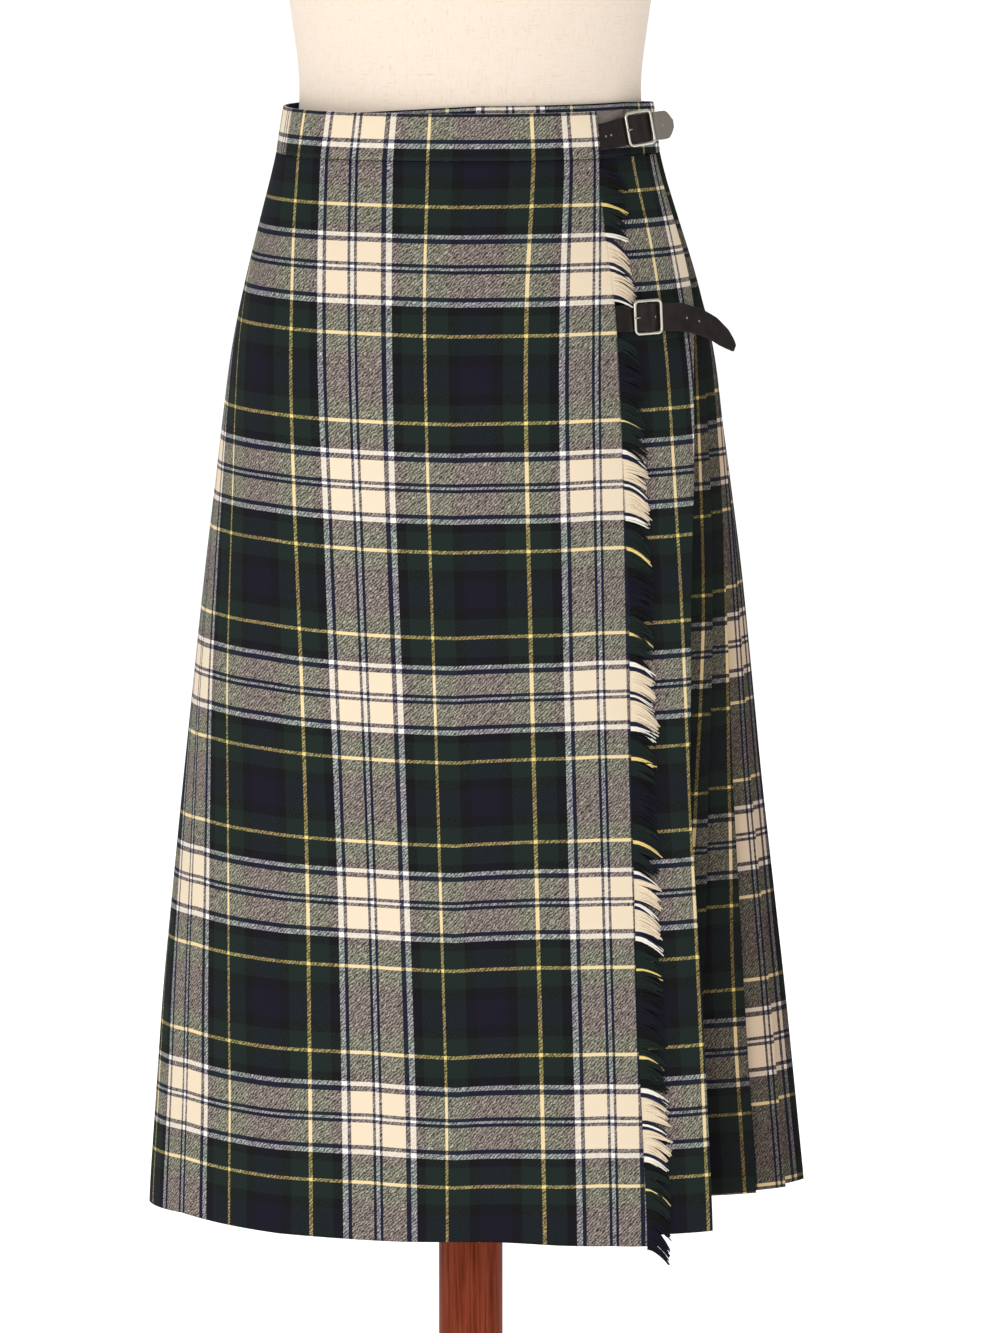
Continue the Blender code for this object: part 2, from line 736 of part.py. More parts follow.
def build_form():
    linen = ("linen", (0.80, 0.72, 0.60), 0.9, 0.0)
    tools = bmesh.new()
    loops = []
    for level, side, front, back in FORM:
        loop = []
        for i in range(FORM_SIDES):
            angle = 2 * math.pi * i / FORM_SIDES
            depth = front if math.cos(angle) > 0 else back
            loop.append(tools.verts.new((
                side * math.sin(angle) * MM,
                -depth * math.cos(angle) * MM,
                level * MM,
            )))
        loops.append(loop)
    for one, two in zip(loops, loops[1:]):
        for i in range(FORM_SIDES):
            j = (i + 1) % FORM_SIDES
            tools.faces.new((one[i], one[j], two[j], two[i]))
    tools.faces.new(loops[0])
    tools.faces.new(loops[-1])
    finish(tools, "dress_form", linen, 50)


def turned(name, foot, profile, look, sides=ROUND_SIDES):
    """A solid turned about the pole's axis from (radius, height) points over its foot."""
    tools = bmesh.new()
    loops = []
    for radius, height in profile:
        loops.append([
            tools.verts.new((
                radius * math.cos(2 * math.pi * i / sides),
                radius * math.sin(2 * math.pi * i / sides),
                height,
            ))
            for i in range(sides)
        ])
    for one, two in zip(loops, loops[1:]):
        for i in range(sides):
            j = (i + 1) % sides
            tools.faces.new((one[i], one[j], two[j], two[i]))
    if profile[0] == profile[-1]:
        bmesh.ops.remove_doubles(tools, verts=tools.verts, dist=1e-7)
    else:
        tools.faces.new(loops[0])
        tools.faces.new(loops[-1])
    finish(tools, name, look, 40).location.z = foot


def build_stand():
    wood = ("wood", (0.22, 0.06, 0.025), 0.35, 0.0)
    form_bottom = FORM[0][0] * MM
    neck_top = FORM[-1][0] * MM
    turned("stand_base", 0.0, (
        (BASE_RADIUS - 2 * MM, 0.0),
        (BASE_RADIUS, 2 * MM),
        (BASE_RADIUS, BASE_HEIGHT - WOOD_EDGE),
        (BASE_RADIUS - 3 * MM, BASE_HEIGHT - 3 * MM),
        (BASE_RADIUS - WOOD_EDGE, BASE_HEIGHT),
    ), wood)
    inner = POLE_RADIUS + GAP
    foot = BASE_HEIGHT + GAP
    turned("stand_collar", foot, (
        (inner, 0.0),
        (COLLAR_RADIUS, 0.0),
        (COLLAR_RADIUS, WOOD_EDGE),
        (COLLAR_RADIUS - WOOD_EDGE, 20 * MM),
        (POLE_RADIUS + 6 * MM, COLLAR_HEIGHT - 3 * MM),
        (POLE_RADIUS + 4 * MM, COLLAR_HEIGHT),
        (inner, COLLAR_HEIGHT),
        (inner, 0.0),
    ), wood)
    turned("stand_pole", foot, (
        (POLE_RADIUS, 0.0),
        (POLE_RADIUS, form_bottom - GAP - foot),
    ), wood)
    turned("neck_cap", neck_top + GAP, (
        (CAP_RADIUS - 2 * MM, 0.0),
        (CAP_RADIUS, 2 * MM),
        (CAP_RADIUS, CAP_HEIGHT - 5 * MM),
        (CAP_RADIUS - 5 * MM, CAP_HEIGHT),
    ), wood)


for old in list(bpy.data.objects):
    bpy.data.objects.remove(old)
bpy.context.collection.objects.link(bpy.data.objects.new(WHOLE, None))
build_skirt()
build_straps()
build_form()
build_stand()
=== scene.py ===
import math

import bpy
import numpy as np
from mathutils import Matrix, Vector


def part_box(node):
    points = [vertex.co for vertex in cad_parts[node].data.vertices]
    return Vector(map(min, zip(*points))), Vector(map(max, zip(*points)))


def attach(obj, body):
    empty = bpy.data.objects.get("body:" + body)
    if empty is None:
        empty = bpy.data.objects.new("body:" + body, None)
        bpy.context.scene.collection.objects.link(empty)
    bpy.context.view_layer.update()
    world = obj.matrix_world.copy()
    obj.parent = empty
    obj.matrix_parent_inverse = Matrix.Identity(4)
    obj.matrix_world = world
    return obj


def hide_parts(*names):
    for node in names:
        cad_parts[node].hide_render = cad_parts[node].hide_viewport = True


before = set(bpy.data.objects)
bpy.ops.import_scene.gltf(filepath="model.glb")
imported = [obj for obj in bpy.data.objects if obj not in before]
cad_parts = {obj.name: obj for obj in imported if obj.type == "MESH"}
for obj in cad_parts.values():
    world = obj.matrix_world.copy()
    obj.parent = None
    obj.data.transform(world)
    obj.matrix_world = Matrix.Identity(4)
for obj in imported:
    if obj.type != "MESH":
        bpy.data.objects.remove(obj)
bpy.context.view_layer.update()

MM = 0.001


# Round base
# A disc of turned beech, stained red-brown and lacquered. Its upper edge is rounded over
# and a shallow groove is turned in its top, three quarters of the way out to the rim.
BASE_LOW, BASE_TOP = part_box("stand_base")
BASE_RADIUS = BASE_TOP.x
WOOD_ROUND = 7 * MM
GROOVE_RADIUS = 150 * MM
GROOVE_DEPTH = 1.2 * MM


def only(obj):
    """Makes this object the only one selected, and the active one."""
    bpy.ops.object.select_all(action="DESELECT")
    obj.select_set(True)
    bpy.context.view_layer.objects.active = obj


def linear(code):
    """An sRGB hex colour such as #8a4b2f as linear red, green, blue and alpha."""
    parts = [int(code[i:i + 2], 16) / 255 for i in (1, 3, 5)]
    turned = [p / 12.92 if p <= 0.04045 else ((p + 0.055) / 1.055) ** 2.4 for p in parts]
    return (*turned, 1.0)


def new_finish(name, **settings):
    """A material with a Principled shader whose sockets are set by name."""
    made = bpy.data.materials.new(name)
    made.use_nodes = True
    shader = made.node_tree.nodes["Principled BSDF"]
    for socket, value in settings.items():
        shader.inputs[socket.replace("_", " ")].default_value = value
    return made


def add_node(finish, kind, inputs=None, **settings):
    """Adds one node. Inputs are values, or sockets of other nodes to link from."""
    tree = finish.node_tree
    made = tree.nodes.new(kind)
    for key, value in settings.items():
        setattr(made, key, value)
    for key, value in (inputs or {}).items():
        if isinstance(value, bpy.types.NodeSocket):
            tree.links.new(value, made.inputs[key])
        else:
            made.inputs[key].default_value = value
    return made


def set_ramp(ramp, stops, interpolation="LINEAR"):
    """Fills a colour ramp with (place, colour) stops."""
    ramp.color_ramp.interpolation = interpolation
    elements = ramp.color_ramp.elements
    while len(elements) > 1:
        elements.remove(elements[-1])
    elements[0].position, elements[0].color = stops[0][0], linear(stops[0][1])
    for place, colour in stops[1:]:
        elements.new(place).color = linear(colour)


def shade(finish, **links):
    """Links sockets to the Principled shader's inputs, which are named with underscores."""
    shader = finish.node_tree.nodes["Principled BSDF"]
    for socket, source in links.items():
        finish.node_tree.links.new(source, shader.inputs[socket.replace("_", " ")])


def turned_wood(name, profile, sides=96):
    """A turned piece: a disc extruded and scaled from ring to ring up its profile."""
    radius, height = profile[0]
    bpy.ops.object.select_all(action="DESELECT")
    bpy.ops.mesh.primitive_circle_add(
        vertices=sides, radius=radius, fill_type="NGON", location=(0, 0, height))
    made = bpy.context.active_object
    made.name = name
    bpy.ops.object.transform_apply(location=True)
    bpy.ops.object.mode_set(mode="EDIT")
    for next_radius, next_height in profile[1:]:
        rise = (0, 0, next_height - height)
        bpy.ops.mesh.extrude_region_move(TRANSFORM_OT_translate={"value": rise})
        wider = next_radius / radius
        bpy.ops.transform.resize(value=(wider, wider, 1), center_override=(0, 0, next_height))
        radius, height = next_radius, next_height
    bpy.ops.mesh.select_all(action="SELECT")
    bpy.ops.mesh.normals_make_consistent(inside=False)
    bpy.ops.object.mode_set(mode="OBJECT")
    bpy.ops.object.shade_smooth_by_angle(angle=math.radians(35))
    return made


def rounded(radius, height, size, first=0, last=90, steps=6):
    """Profile points of a rounded edge whose flat outer side has this radius."""
    angles = [math.radians(first + (last - first) * i / steps) for i in range(steps + 1)]
    return [
        (radius - size + size * math.cos(a), height - size + size * math.sin(a)) for a in angles
    ]


def stained_wood(name, along):
    """Beech, turned and sanded, stained red-brown: fine long grain under a satin lacquer."""
    finish = new_finish(name, Roughness=0.5, Specular_IOR_Level=0.05)
    place = add_node(finish, "ShaderNodeTexCoord").outputs["Object"]
    across, length = 1 / (2.2 * MM), 1 / (70 * MM)
    scale = (length, across, across) if along == "X" else (across, across, length)
    grain_place = add_node(finish, "ShaderNodeMapping", {"Vector": place, "Scale": scale})
    grain = add_node(finish, "ShaderNodeTexNoise", {
        "Vector": grain_place.outputs[0], "Scale": 1.0, "Detail": 5.0, "Roughness": 0.62})
    tone = add_node(finish, "ShaderNodeValToRGB", {"Fac": grain.outputs["Fac"]})
    set_ramp(tone, ((0.30, "#5a2214"), (0.48, "#863a22"), (0.62, "#96482e"), (0.75, "#702e1a")))
    bump = add_node(finish, "ShaderNodeBump", {
        "Height": grain.outputs["Fac"], "Strength": 0.12, "Distance": 0.2 * MM})
    shade(finish, Base_Color=tone.outputs["Color"], Normal=bump.outputs["Normal"])
    return finish


def fit(piece, finish, slot_name, *stands_for):
    """Gives a finished piece its material and body and hides the CAD nodes that it stands for; slot_name
    is not used.
    """
    piece.data.materials.clear()
    piece.data.materials.append(finish)
    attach(piece, "root")
    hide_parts(*stands_for)


flat_wood = stained_wood("stained beech, grain across", "X")
base = turned_wood("round_base", (
    (BASE_RADIUS - 2 * MM, 0.0),
    (BASE_RADIUS, 2 * MM),
    *rounded(BASE_RADIUS, BASE_TOP.z, WOOD_ROUND),
    (GROOVE_RADIUS + 2 * MM, BASE_TOP.z),
    (GROOVE_RADIUS, BASE_TOP.z - GROOVE_DEPTH),
    (GROOVE_RADIUS - 2 * MM, BASE_TOP.z),
))
fit(base, flat_wood, "stained_wood", "stand_base")


# Collar at the pole's foot
# A turned ring of the same beech that holds the pole upright, with a cove up to its neck.
COLLAR_LOW, COLLAR_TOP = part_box("stand_collar")
COVE_STEPS = 8
collar_profile = [(COLLAR_TOP.x - 1 * MM, COLLAR_LOW.z), (COLLAR_TOP.x, COLLAR_LOW.z + 1 * MM)]
collar_profile += rounded(COLLAR_TOP.x, COLLAR_LOW.z + 9 * MM, 3 * MM)
for cove_step in range(COVE_STEPS + 1):
    cove_share = cove_step / COVE_STEPS
    collar_profile.append((
        COLLAR_TOP.x - 6 * MM - 10.5 * MM * math.sin(cove_share * math.pi / 2),
        COLLAR_LOW.z + 10 * MM + 22 * MM * (1 - math.cos(cove_share * math.pi / 2)),
    ))
collar_profile.append((COLLAR_TOP.x - 18 * MM, COLLAR_TOP.z))
collar = turned_wood("pole_collar", collar_profile)
fit(collar, flat_wood, "stained_wood", "stand_collar")


# Pole
# A round beech pole from the base up into the form, its grain running up it.
POLE_LOW, POLE_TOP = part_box("stand_pole")
pole_wood = stained_wood("stained beech, grain up the pole", "Z")
pole = turned_wood("wood_pole", ((POLE_TOP.x, POLE_LOW.z), (POLE_TOP.x, POLE_TOP.z)))
fit(pole, pole_wood, "stained_wood", "stand_pole")


# Dress form
# A limbless padded body covered in cream linen, closed under the hips and at the neck. The
# cover is pulled smooth, and thicker slubs show in it as pale brown flecks.
FORM_NAMES = ("level", "side", "front", "back")
FORM = (
    (762, 112, 88, 84),
    (766, 134, 104, 100),
    (782, 152, 118, 114),
    (812, 161, 128, 119),
    (840, 162, 130, 119),
    (890, 158, 129.5, 117),
    (940, 147, 120, 106.5),
    (985, 133.5, 107, 96.5),
    (1026, 121.0, 96.4, 90.0),
    (1066, 118.2, 91.3, 86.8),
    (1085, 119.0, 91.4, 87.0),
    (1132, 125.5, 95.0, 92.0),
    (1200, 138, 112, 98),
    (1265, 146, 127, 103),
    (1330, 152, 118, 105),
    (1385, 166, 98, 99),
    (1412, 160, 82, 86),
    (1434, 126, 66, 70),
    (1452, 84, 55, 58),
    (1476, 59, 50, 51),
    (1520, 53, 47, 48),
)
FORM_SIDES = 128
FORM_RINGS = 150
FORM_SOFT = 9.0


def column(table, names, name, level, soft=0.0):
    """One column of a table at a level in millimetres, with its corners rounded off."""
    rows = sorted(table)
    levels = [row[0] for row in rows]
    values = [row[names.index(name)] for row in rows]
    near = [level + soft * share for share in (-1.0, -0.6, -0.2, 0.2, 0.6, 1.0)]
    return float(np.mean(np.interp(near, levels, values)))


def grid_of(name, places, cut=None):
    """A grid primitive moved point by point onto rows of places, its UVs set to the cut."""
    rows, count = places.shape[:2]
    bpy.ops.object.select_all(action="DESELECT")
    bpy.ops.mesh.primitive_grid_add(x_subdivisions=count - 1, y_subdivisions=rows - 1, size=1)
    made = bpy.context.active_object
    made.name = name
    mesh = made.data
    flat = np.zeros(len(mesh.vertices) * 3)
    mesh.vertices.foreach_get("co", flat)
    flat = flat.reshape(-1, 3)
    across = np.rint((flat[:, 0] + 0.5) * (count - 1)).astype(int)
    down = np.rint((0.5 - flat[:, 1]) * (rows - 1)).astype(int)
    mesh.vertices.foreach_set("co", places[down, across].ravel())
    if cut is not None:
        corners = np.zeros(len(mesh.loops), dtype=int)
        mesh.loops.foreach_get("vertex_index", corners)
        mesh.uv_layers.active.name = "cut"
        mesh.uv_layers.active.uv.foreach_set("vector", cut[down, across][corners].ravel())
    mesh.update()
    bpy.ops.object.shade_smooth()
    return made


form_levels = np.linspace(FORM[0][0], FORM[-1][0], FORM_RINGS)
form_turns = np.linspace(0, 2 * math.pi, FORM_SIDES + 1)
form_places = np.zeros((FORM_RINGS, FORM_SIDES + 1, 3))
for form_row, form_level in enumerate(form_levels[::-1]):
    side, front, back = (
        column(FORM, FORM_NAMES, name, form_level, FORM_SOFT) for name in FORM_NAMES[1:])
    depths = np.where(np.cos(form_turns) > 0, front, back)
    form_places[form_row, :, 0] = side * np.sin(form_turns)
    form_places[form_row, :, 1] = -depths * np.cos(form_turns)
    form_places[form_row, :, 2] = form_level
form = grid_of("linen_form", form_places * MM)
bpy.ops.object.mode_set(mode="EDIT")
bpy.ops.mesh.select_all(action="SELECT")
bpy.ops.mesh.remove_doubles(threshold=0.01 * MM)
bpy.ops.mesh.select_all(action="DESELECT")
bpy.ops.mesh.select_non_manifold()
bpy.ops.mesh.edge_face_add()
bpy.ops.mesh.select_all(action="SELECT")
bpy.ops.mesh.normals_make_consistent(inside=False)
bpy.ops.object.mode_set(mode="OBJECT")
bpy.ops.object.shade_smooth_by_angle(angle=math.radians(50))

# Cream linen, plain woven and napped: matt, with flecks where a slub crosses the weave.
linen = new_finish("slubbed cream linen", Roughness=0.92, Sheen_Weight=0.15)
linen_place = add_node(linen, "ShaderNodeTexCoord").outputs["Object"]
slubs = [
    add_node(linen, "ShaderNodeTexNoise", {
        "Vector": add_node(linen, "ShaderNodeMapping", {
            "Vector": linen_place, "Scale": scale}).outputs[0],
        "Scale": 1.0, "Detail": 3.0, "Roughness": 0.7}).outputs["Fac"]
    for scale in ((120, 120, 900), (900, 900, 120))
]
slub = add_node(linen, "ShaderNodeMath", {0: slubs[0], 1: slubs[1]}, operation="MAXIMUM").outputs[0]
linen_tone = add_node(linen, "ShaderNodeValToRGB", {"Fac": slub})
set_ramp(linen_tone, ((0.45, "#ecdccc"), (0.62, "#e8d7c4"), (0.74, "#d8c3a8"), (0.86, "#c4ab88")))
linen_bump = add_node(linen, "ShaderNodeBump", {"Height": slub, "Strength": 0.3, "Distance": 0.3 * MM})
shade(linen, Base_Color=linen_tone.outputs["Color"], Normal=linen_bump.outputs["Normal"])
fit(form, linen, "speckled_linen", "dress_form")


# Neck cap
# A turned beech disc that closes the form's neck.
CAP_LOW, CAP_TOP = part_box("neck_cap")
cap = turned_wood("neck_cap_turned", (
    (CAP_TOP.x - 2 * MM, CAP_LOW.z),
    (CAP_TOP.x, CAP_LOW.z + 2 * MM),
    *rounded(CAP_TOP.x, CAP_TOP.z, 5 * MM),
))
fit(cap, flat_wood, "stained_wood", "neck_cap")


# Under apron
# The inner front width of worsted tartan. It lies under the outer apron and shows beside the
# fringe as a flat panel, whose far edge is folded back and joined to the first pleat.
# The skirt's half widths, depths, squareness at the left front, free edge and how far the
# pleats stand back, worked out from places measured in the photograph
OUTLINE_NAMES = ("level", "right", "left", "front", "back", "square", "free_edge", "recess")
OUTLINE = (
    (1058, 126.5, 128.5, 100, 94, 2.2, 86.5, 0),
    (1026, 130.5, 134.0, 105, 97, 2.2, 88.5, 0),
    (985, 143.0, 144.7, 118, 106, 2.4, 91.0, 0),
    (940, 157.5, 156.0, 132, 118, 2.5, 98.5, 0),
    (890, 170.0, 166.5, 144, 130, 2.5, 101.5, 6),
    (735, 189.7, 185.6, 155, 140, 2.2, 109.0, 18),
    (590, 204.4, 201.5, 157, 144, 2.0, 112.0, 25),
    (440, 222.0, 217.0, 156, 148, 1.95, 116.0, 30),
    (285, 238.0, 228.6, 153, 152, 1.9, 123.5, 34),
)
# Fold edges as degrees round from the front, the pleats' depth and fold size, and where the
# under apron's yellow line lies, which a measuring script worked out from the photograph
FOLD_NAMES = (
    "level", "panel", "tucked", "first", "second", "third", "fourth", "depth", "fold",
    "panel_yellow",
)
FOLDS = (
    (1026, 77.0, 77.0, 84.0, 91.0, 98.0, 105.0, 5.4, 2.0, 127.6),
    (985, 78.0, 78.0, 85.0, 92.0, 99.0, 106.0, 5.4, 2.0, 140.5),
    (940, 77.0, 76.0, 83.0, 90.0, 97.0, 104.0, 5.6, 2.0, 148.6),
    (890, 65.0, 64.0, 72.0, 80.0, 88.0, 97.0, 6.4, 2.1, 152.7),
    (735, 53.5, 54.0, 62.5, 69.0, 78.0, 90.0, 8.8, 2.5, 158.3),
    (590, 48.0, 45.5, 54.0, 63.4, 73.3, 86.0, 10.8, 2.8, 161.8),
    (440, 46.6, 39.0, 46.8, 59.6, 71.0, 85.0, 12.6, 3.1, 167.0),
    (285, 45.3, 37.0, 44.8, 57.8, 69.6, 84.5, 14.0, 3.4, 172.3),
)
SOFT = 22.0
SEAM = 1025.7
HEM = 285.0
PLEAT_HEM = 303.0
LAST_PLEAT_HEM = 287.0
FREE_CORNER_HEM = 276.0
LAST_FOLD = 262.0
HIDDEN_PLEATS = 18
UNDERLAP = 0.5
UNDER_LAY = 5.2
UNDER_CLEAR = 6.0
UNDER_EDGE = -100.0
WALL = 0.7
CLOTH_ROWS = 150
# The tartan's repeat in millimetres, and how far the cloth gives across it on the body
WARP_REPEAT = 159.8
WEFT_REPEAT = 144.4
GIVE = 1.03
# A yellow line stands this far either side of the middle of a light stripe in the warp
YELLOW = 46.1
# Heights of the middles of the light bands down the under apron, a weft repeat apart
UNDER_BANDS = (1104, 960, 813, 666, 520, 368, 224)


# The outline runs this far round in degrees, so that the ends of both aprons lie on it
RING_START, RING_END, RING_POINTS = -130.0, 290.0, 1261


class Ring:
    """The skirt's outline at one height, measured round from the front centre."""

    def __init__(self, level, recessed=False):
        right, left, front, back, square, free, recess = (
            column(OUTLINE, OUTLINE_NAMES, name, level, SOFT) for name in OUTLINE_NAMES[1:])
        self.degrees = np.linspace(RING_START, RING_END, RING_POINTS)
        turn = np.radians(self.degrees)
        left_front = (np.sin(turn) < 0) & (np.cos(turn) > 0)
        power = np.where(left_front, 2.0 / square, 1.0)
        width = np.where(np.sin(turn) > 0, right, left)
        depth = np.where(np.cos(turn) > 0, front - (recess if recessed else 0.0), back)
        self.x = width * np.sign(np.sin(turn)) * np.abs(np.sin(turn)) ** power
        self.y = -depth * np.sign(np.cos(turn)) * np.abs(np.cos(turn)) ** power
        self.length = np.concatenate(([0.0], np.cumsum(np.hypot(np.diff(self.x), np.diff(self.y)))))
        self.length -= np.interp(0.0, self.degrees, self.length)
        right_front = (self.degrees >= 0.0) & (self.degrees <= 90.0)
        self.free = float(np.interp(free, self.x[right_front], self.length[right_front]))

    def at_degrees(self, degrees):
        return float(np.interp(degrees, self.degrees, self.length))

    def points(self, along, inward):
        """Plan points so far along the outline and so far in from it."""
        along = np.asarray(along, dtype=float)
        before, after = along - 1.5, along + 1.5
        run_x = np.interp(after, self.length, self.x) - np.interp(before, self.length, self.x)
        run_y = np.interp(after, self.length, self.y) - np.interp(before, self.length, self.y)
        run = np.hypot(run_x, run_y)
        x = np.interp(along, self.length, self.x) - run_y / run * inward
        y = np.interp(along, self.length, self.y) + run_x / run * inward
        return x, y


def ease(value):
    """A smooth step from 0 to 1."""
    value = np.clip(value, 0.0, 1.0)
    return value * value * (3.0 - 2.0 * value)


def fold_at(name, level):
    return column(FOLDS, FOLD_NAMES, name, level, SOFT)


def fold_places(ring, level):
    """The pleats' fold edges along their ring: the tucked start, the four that show, the rest."""
    shown = [ring.at_degrees(fold_at(name, level)) for name in FOLD_NAMES[2:7]]
    hidden = np.linspace(shown[-1], ring.at_degrees(LAST_FOLD), HIDDEN_PLEATS + 1)
    return np.concatenate((shown, hidden[1:]))


def turn_back(edge, outer, size):
    """Along and inward places round a fold: over its edge and back behind it."""
    turns = np.radians((-60, -20, 20, 60, 90))
    return edge - size / 2 + size / 2 * np.cos(turns), outer + size / 2 + size / 2 * np.sin(turns)


def lay_cloth(name, line_at, hems, bands, rows=CLOTH_ROWS):
    """A sheet in rows from the waist seam to its hem, whose wall goes inward from its face.

    line_at(level) gives every point's x and y, its place across the cut and how far its weft
    leans off its row. bands are the heights of the light bands, which give each row its place
    down the cut.
    """
    places = np.zeros((rows + 1, len(hems), 3))
    cut = np.zeros((rows + 1, len(hems), 2))
    for row in range(rows + 1):
        levels = SEAM - row / rows * (SEAM - hems)
        low, high = float(levels.min()), float(levels.max()) + 0.001
        lower, upper = line_at(low), line_at(high)
        line = lower + (upper - lower) * ((levels - low) / (high - low))[:, None]
        places[row] = np.column_stack((line[:, :2], levels))
        down = np.interp(row / rows * (HEM - SEAM) + SEAM, bands[::-1], range(len(bands) - 1, -1, -1))
        cut[row] = np.column_stack((line[:, 2], down * WEFT_REPEAT + line[:, 3]))
    made = grid_of(name, places * MM, cut * MM)
    wall = made.modifiers.new("wall", "SOLIDIFY")
    wall.thickness = WALL * MM
    wall.offset = -1.0
    bpy.ops.object.modifier_apply(modifier="wall")
    return made


def under_lay(ring, level, along):
    """How far in the under apron lies: under the outer one, and level with it beside it."""
    panel = ring.at_degrees(fold_at("panel", level))
    clear = ring.free + UNDER_CLEAR
    return UNDER_LAY * (1.0 - ease((along - clear) / (panel - clear)))


UNDER_FACE = 110
# How far the under apron's weft sags at each height, in millimetres, measured by script
UNDER_LEAN = ((325, 0.0), (366, 1.4), (408, 2.8), (616, 2.8), (660, 1.4), (720, 0.3), (800, -0.8),
              (870, -1.4), (930, 0.0))


def under_apron_line(level):
    ring, pleats = Ring(level), Ring(level, True)
    size = fold_at("fold", level)
    panel = ring.at_degrees(fold_at("panel", level))
    face = np.linspace(UNDER_EDGE, panel - size / 2, UNDER_FACE)
    lay = under_lay(ring, level, face)
    round_along, round_in = turn_back(panel, under_lay(ring, level, panel), size)
    x, y = ring.points(np.concatenate((face, round_along)), np.concatenate((lay, round_in)))
    first = fold_places(pleats, level)[:2]
    join = first[0] - UNDERLAP * (first[1] - first[0])
    end_x, end_y = pleats.points(join, fold_at("depth", level) - 1.2)
    x = np.append(x, (x[-1] * 0.5 + end_x * 0.5, end_x))
    y = np.append(y, (y[-1] * 0.5 + end_y * 0.5, end_y))
    run = np.concatenate(([0.0], np.cumsum(np.hypot(np.diff(x), np.diff(y)))))
    at_yellow = np.interp(fold_at("panel_yellow", level), face, run[:UNDER_FACE])
    across = (run - at_yellow) / GIVE - YELLOW
    lean = np.full(len(x), np.interp(level, *zip(*UNDER_LEAN)))
    return np.column_stack((x, y, across, lean))


under_apron = lay_cloth(
    "under_apron_cloth", under_apron_line, np.full(UNDER_FACE + 7, HEM), UNDER_BANDS)


# Worsted tartan, woven in 2/2 twill
# Stripes of white, ecru, navy, black, green and yellow yarn run both ways, and where two
# differ both show as fine diagonal flecks. Worsted is smooth and matt.
# Threads lie 0.575 mm apart; they are drawn a little coarser, so that the twill shows
THREAD = 0.66
WHITE, ECRU, NAVY_LINE = "#f7f0e4", "#ead8bd", "#25283c"
NAVY, BLACK, GREEN, GOLD = "#1b1a25", "#191819", "#202926", "#f0d486"
WARP_SETT = (
    (5.0, WHITE), (4.1, NAVY_LINE), (21.8, ECRU), (2.8, NAVY_LINE), (3.6, WHITE),
    (2.9, NAVY_LINE), (23.0, ECRU), (4.8, NAVY_LINE), (5.2, WHITE), (9.7, BLACK),
    (19.9, GREEN), (3.0, GOLD), (21.9, GREEN), (11.0, BLACK), (32.0, NAVY), (11.0, BLACK),
    (21.9, GREEN), (3.0, GOLD), (19.9, GREEN), (9.5, BLACK),
)
WEFT_SETT = (
    (3.9, WHITE), (4.6, NAVY_LINE), (20.6, ECRU), (3.9, NAVY_LINE), (2.4, WHITE),
    (3.3, NAVY_LINE), (21.8, ECRU), (4.6, NAVY_LINE), (4.4, WHITE), (8.6, BLACK),
    (18.5, GREEN), (3.0, GOLD), (16.8, GREEN), (10.0, BLACK), (28.0, NAVY), (10.0, BLACK),
    (17.1, GREEN), (3.0, GOLD), (17.9, GREEN), (9.0, BLACK),
)
LIGHT_BANDS = 9
# How strongly the twill shows, how far its diagonals wander, how blotchy the mixed checks are
# and how much they darken. Sizes are in millimetres.
TWILL_SHOWS = 0.37
WANDER_SIZE, WANDER = 3.2, 2.4
BLOTCH_WIDE, BLOTCH_HIGH, FLECK_SIZE = 3.6, 3.0, 1.8
BLOTCH_LOW, BLOTCH_TOP = 0.7, 1.3
MIX_DARKENS = 1.45
# Where light and dark yarns cross, the dark ones hide more of the light ones than half, and
# the cloth looks grey-green over green yarn and grey-brown over navy and black
MIX_GREEN = (0.46, 0.52, 0.54, 1.0)
MIX_BROWN = (0.465, 0.465, 0.545, 1.0)


def sett_stops(sett):
    """Colour ramp stops of a sett, and the share of the repeat at its light stripe's middle."""
    total = sum(width for width, _ in sett)
    starts = np.cumsum([0.0] + [width for width, _ in sett])[:-1] / total
    middle = sum(width for width, _ in sett[:LIGHT_BANDS]) / total / 2
    return [(float(s), colour) for s, (_, colour) in zip(starts, sett)], middle


def sett_colour(finish, place, repeat, sett):
    """The yarn colour at a place across the cut, from the sett's stripes."""
    stops, middle = sett_stops(sett)
    turns = add_node(finish, "ShaderNodeMath", {
        0: place, 1: 1 / (repeat * MM), 2: middle + 20}, operation="MULTIPLY_ADD").outputs[0]
    share = add_node(finish, "ShaderNodeMath", {0: turns}, operation="FRACT").outputs[0]
    ramp = add_node(finish, "ShaderNodeValToRGB", {"Fac": share})
    set_ramp(ramp, stops, "CONSTANT")
    return ramp.outputs["Color"]


def math_node(finish, operation, first, second=0.5, third=0.5):
    return add_node(
        finish, "ShaderNodeMath", {0: first, 1: second, 2: third}, operation=operation).outputs[0]


def flecks(finish, cut, wide, high, low_value, high_value):
    """Noise over the cloth whose flecks are so many millimetres wide and high."""
    place = add_node(finish, "ShaderNodeMapping", {
        "Vector": cut, "Scale": (1 / (wide * MM), 1 / (high * MM), 1)}).outputs[0]
    noise = add_node(finish, "ShaderNodeTexNoise", {
        "Vector": place, "Scale": 1.0, "Detail": 2.0, "Roughness": 0.6}, noise_dimensions="2D")
    return add_node(finish, "ShaderNodeMapRange", {
        "Value": noise.outputs["Fac"], "From Min": 0.3, "From Max": 0.7,
        "To Min": low_value, "To Max": high_value}).outputs[0]


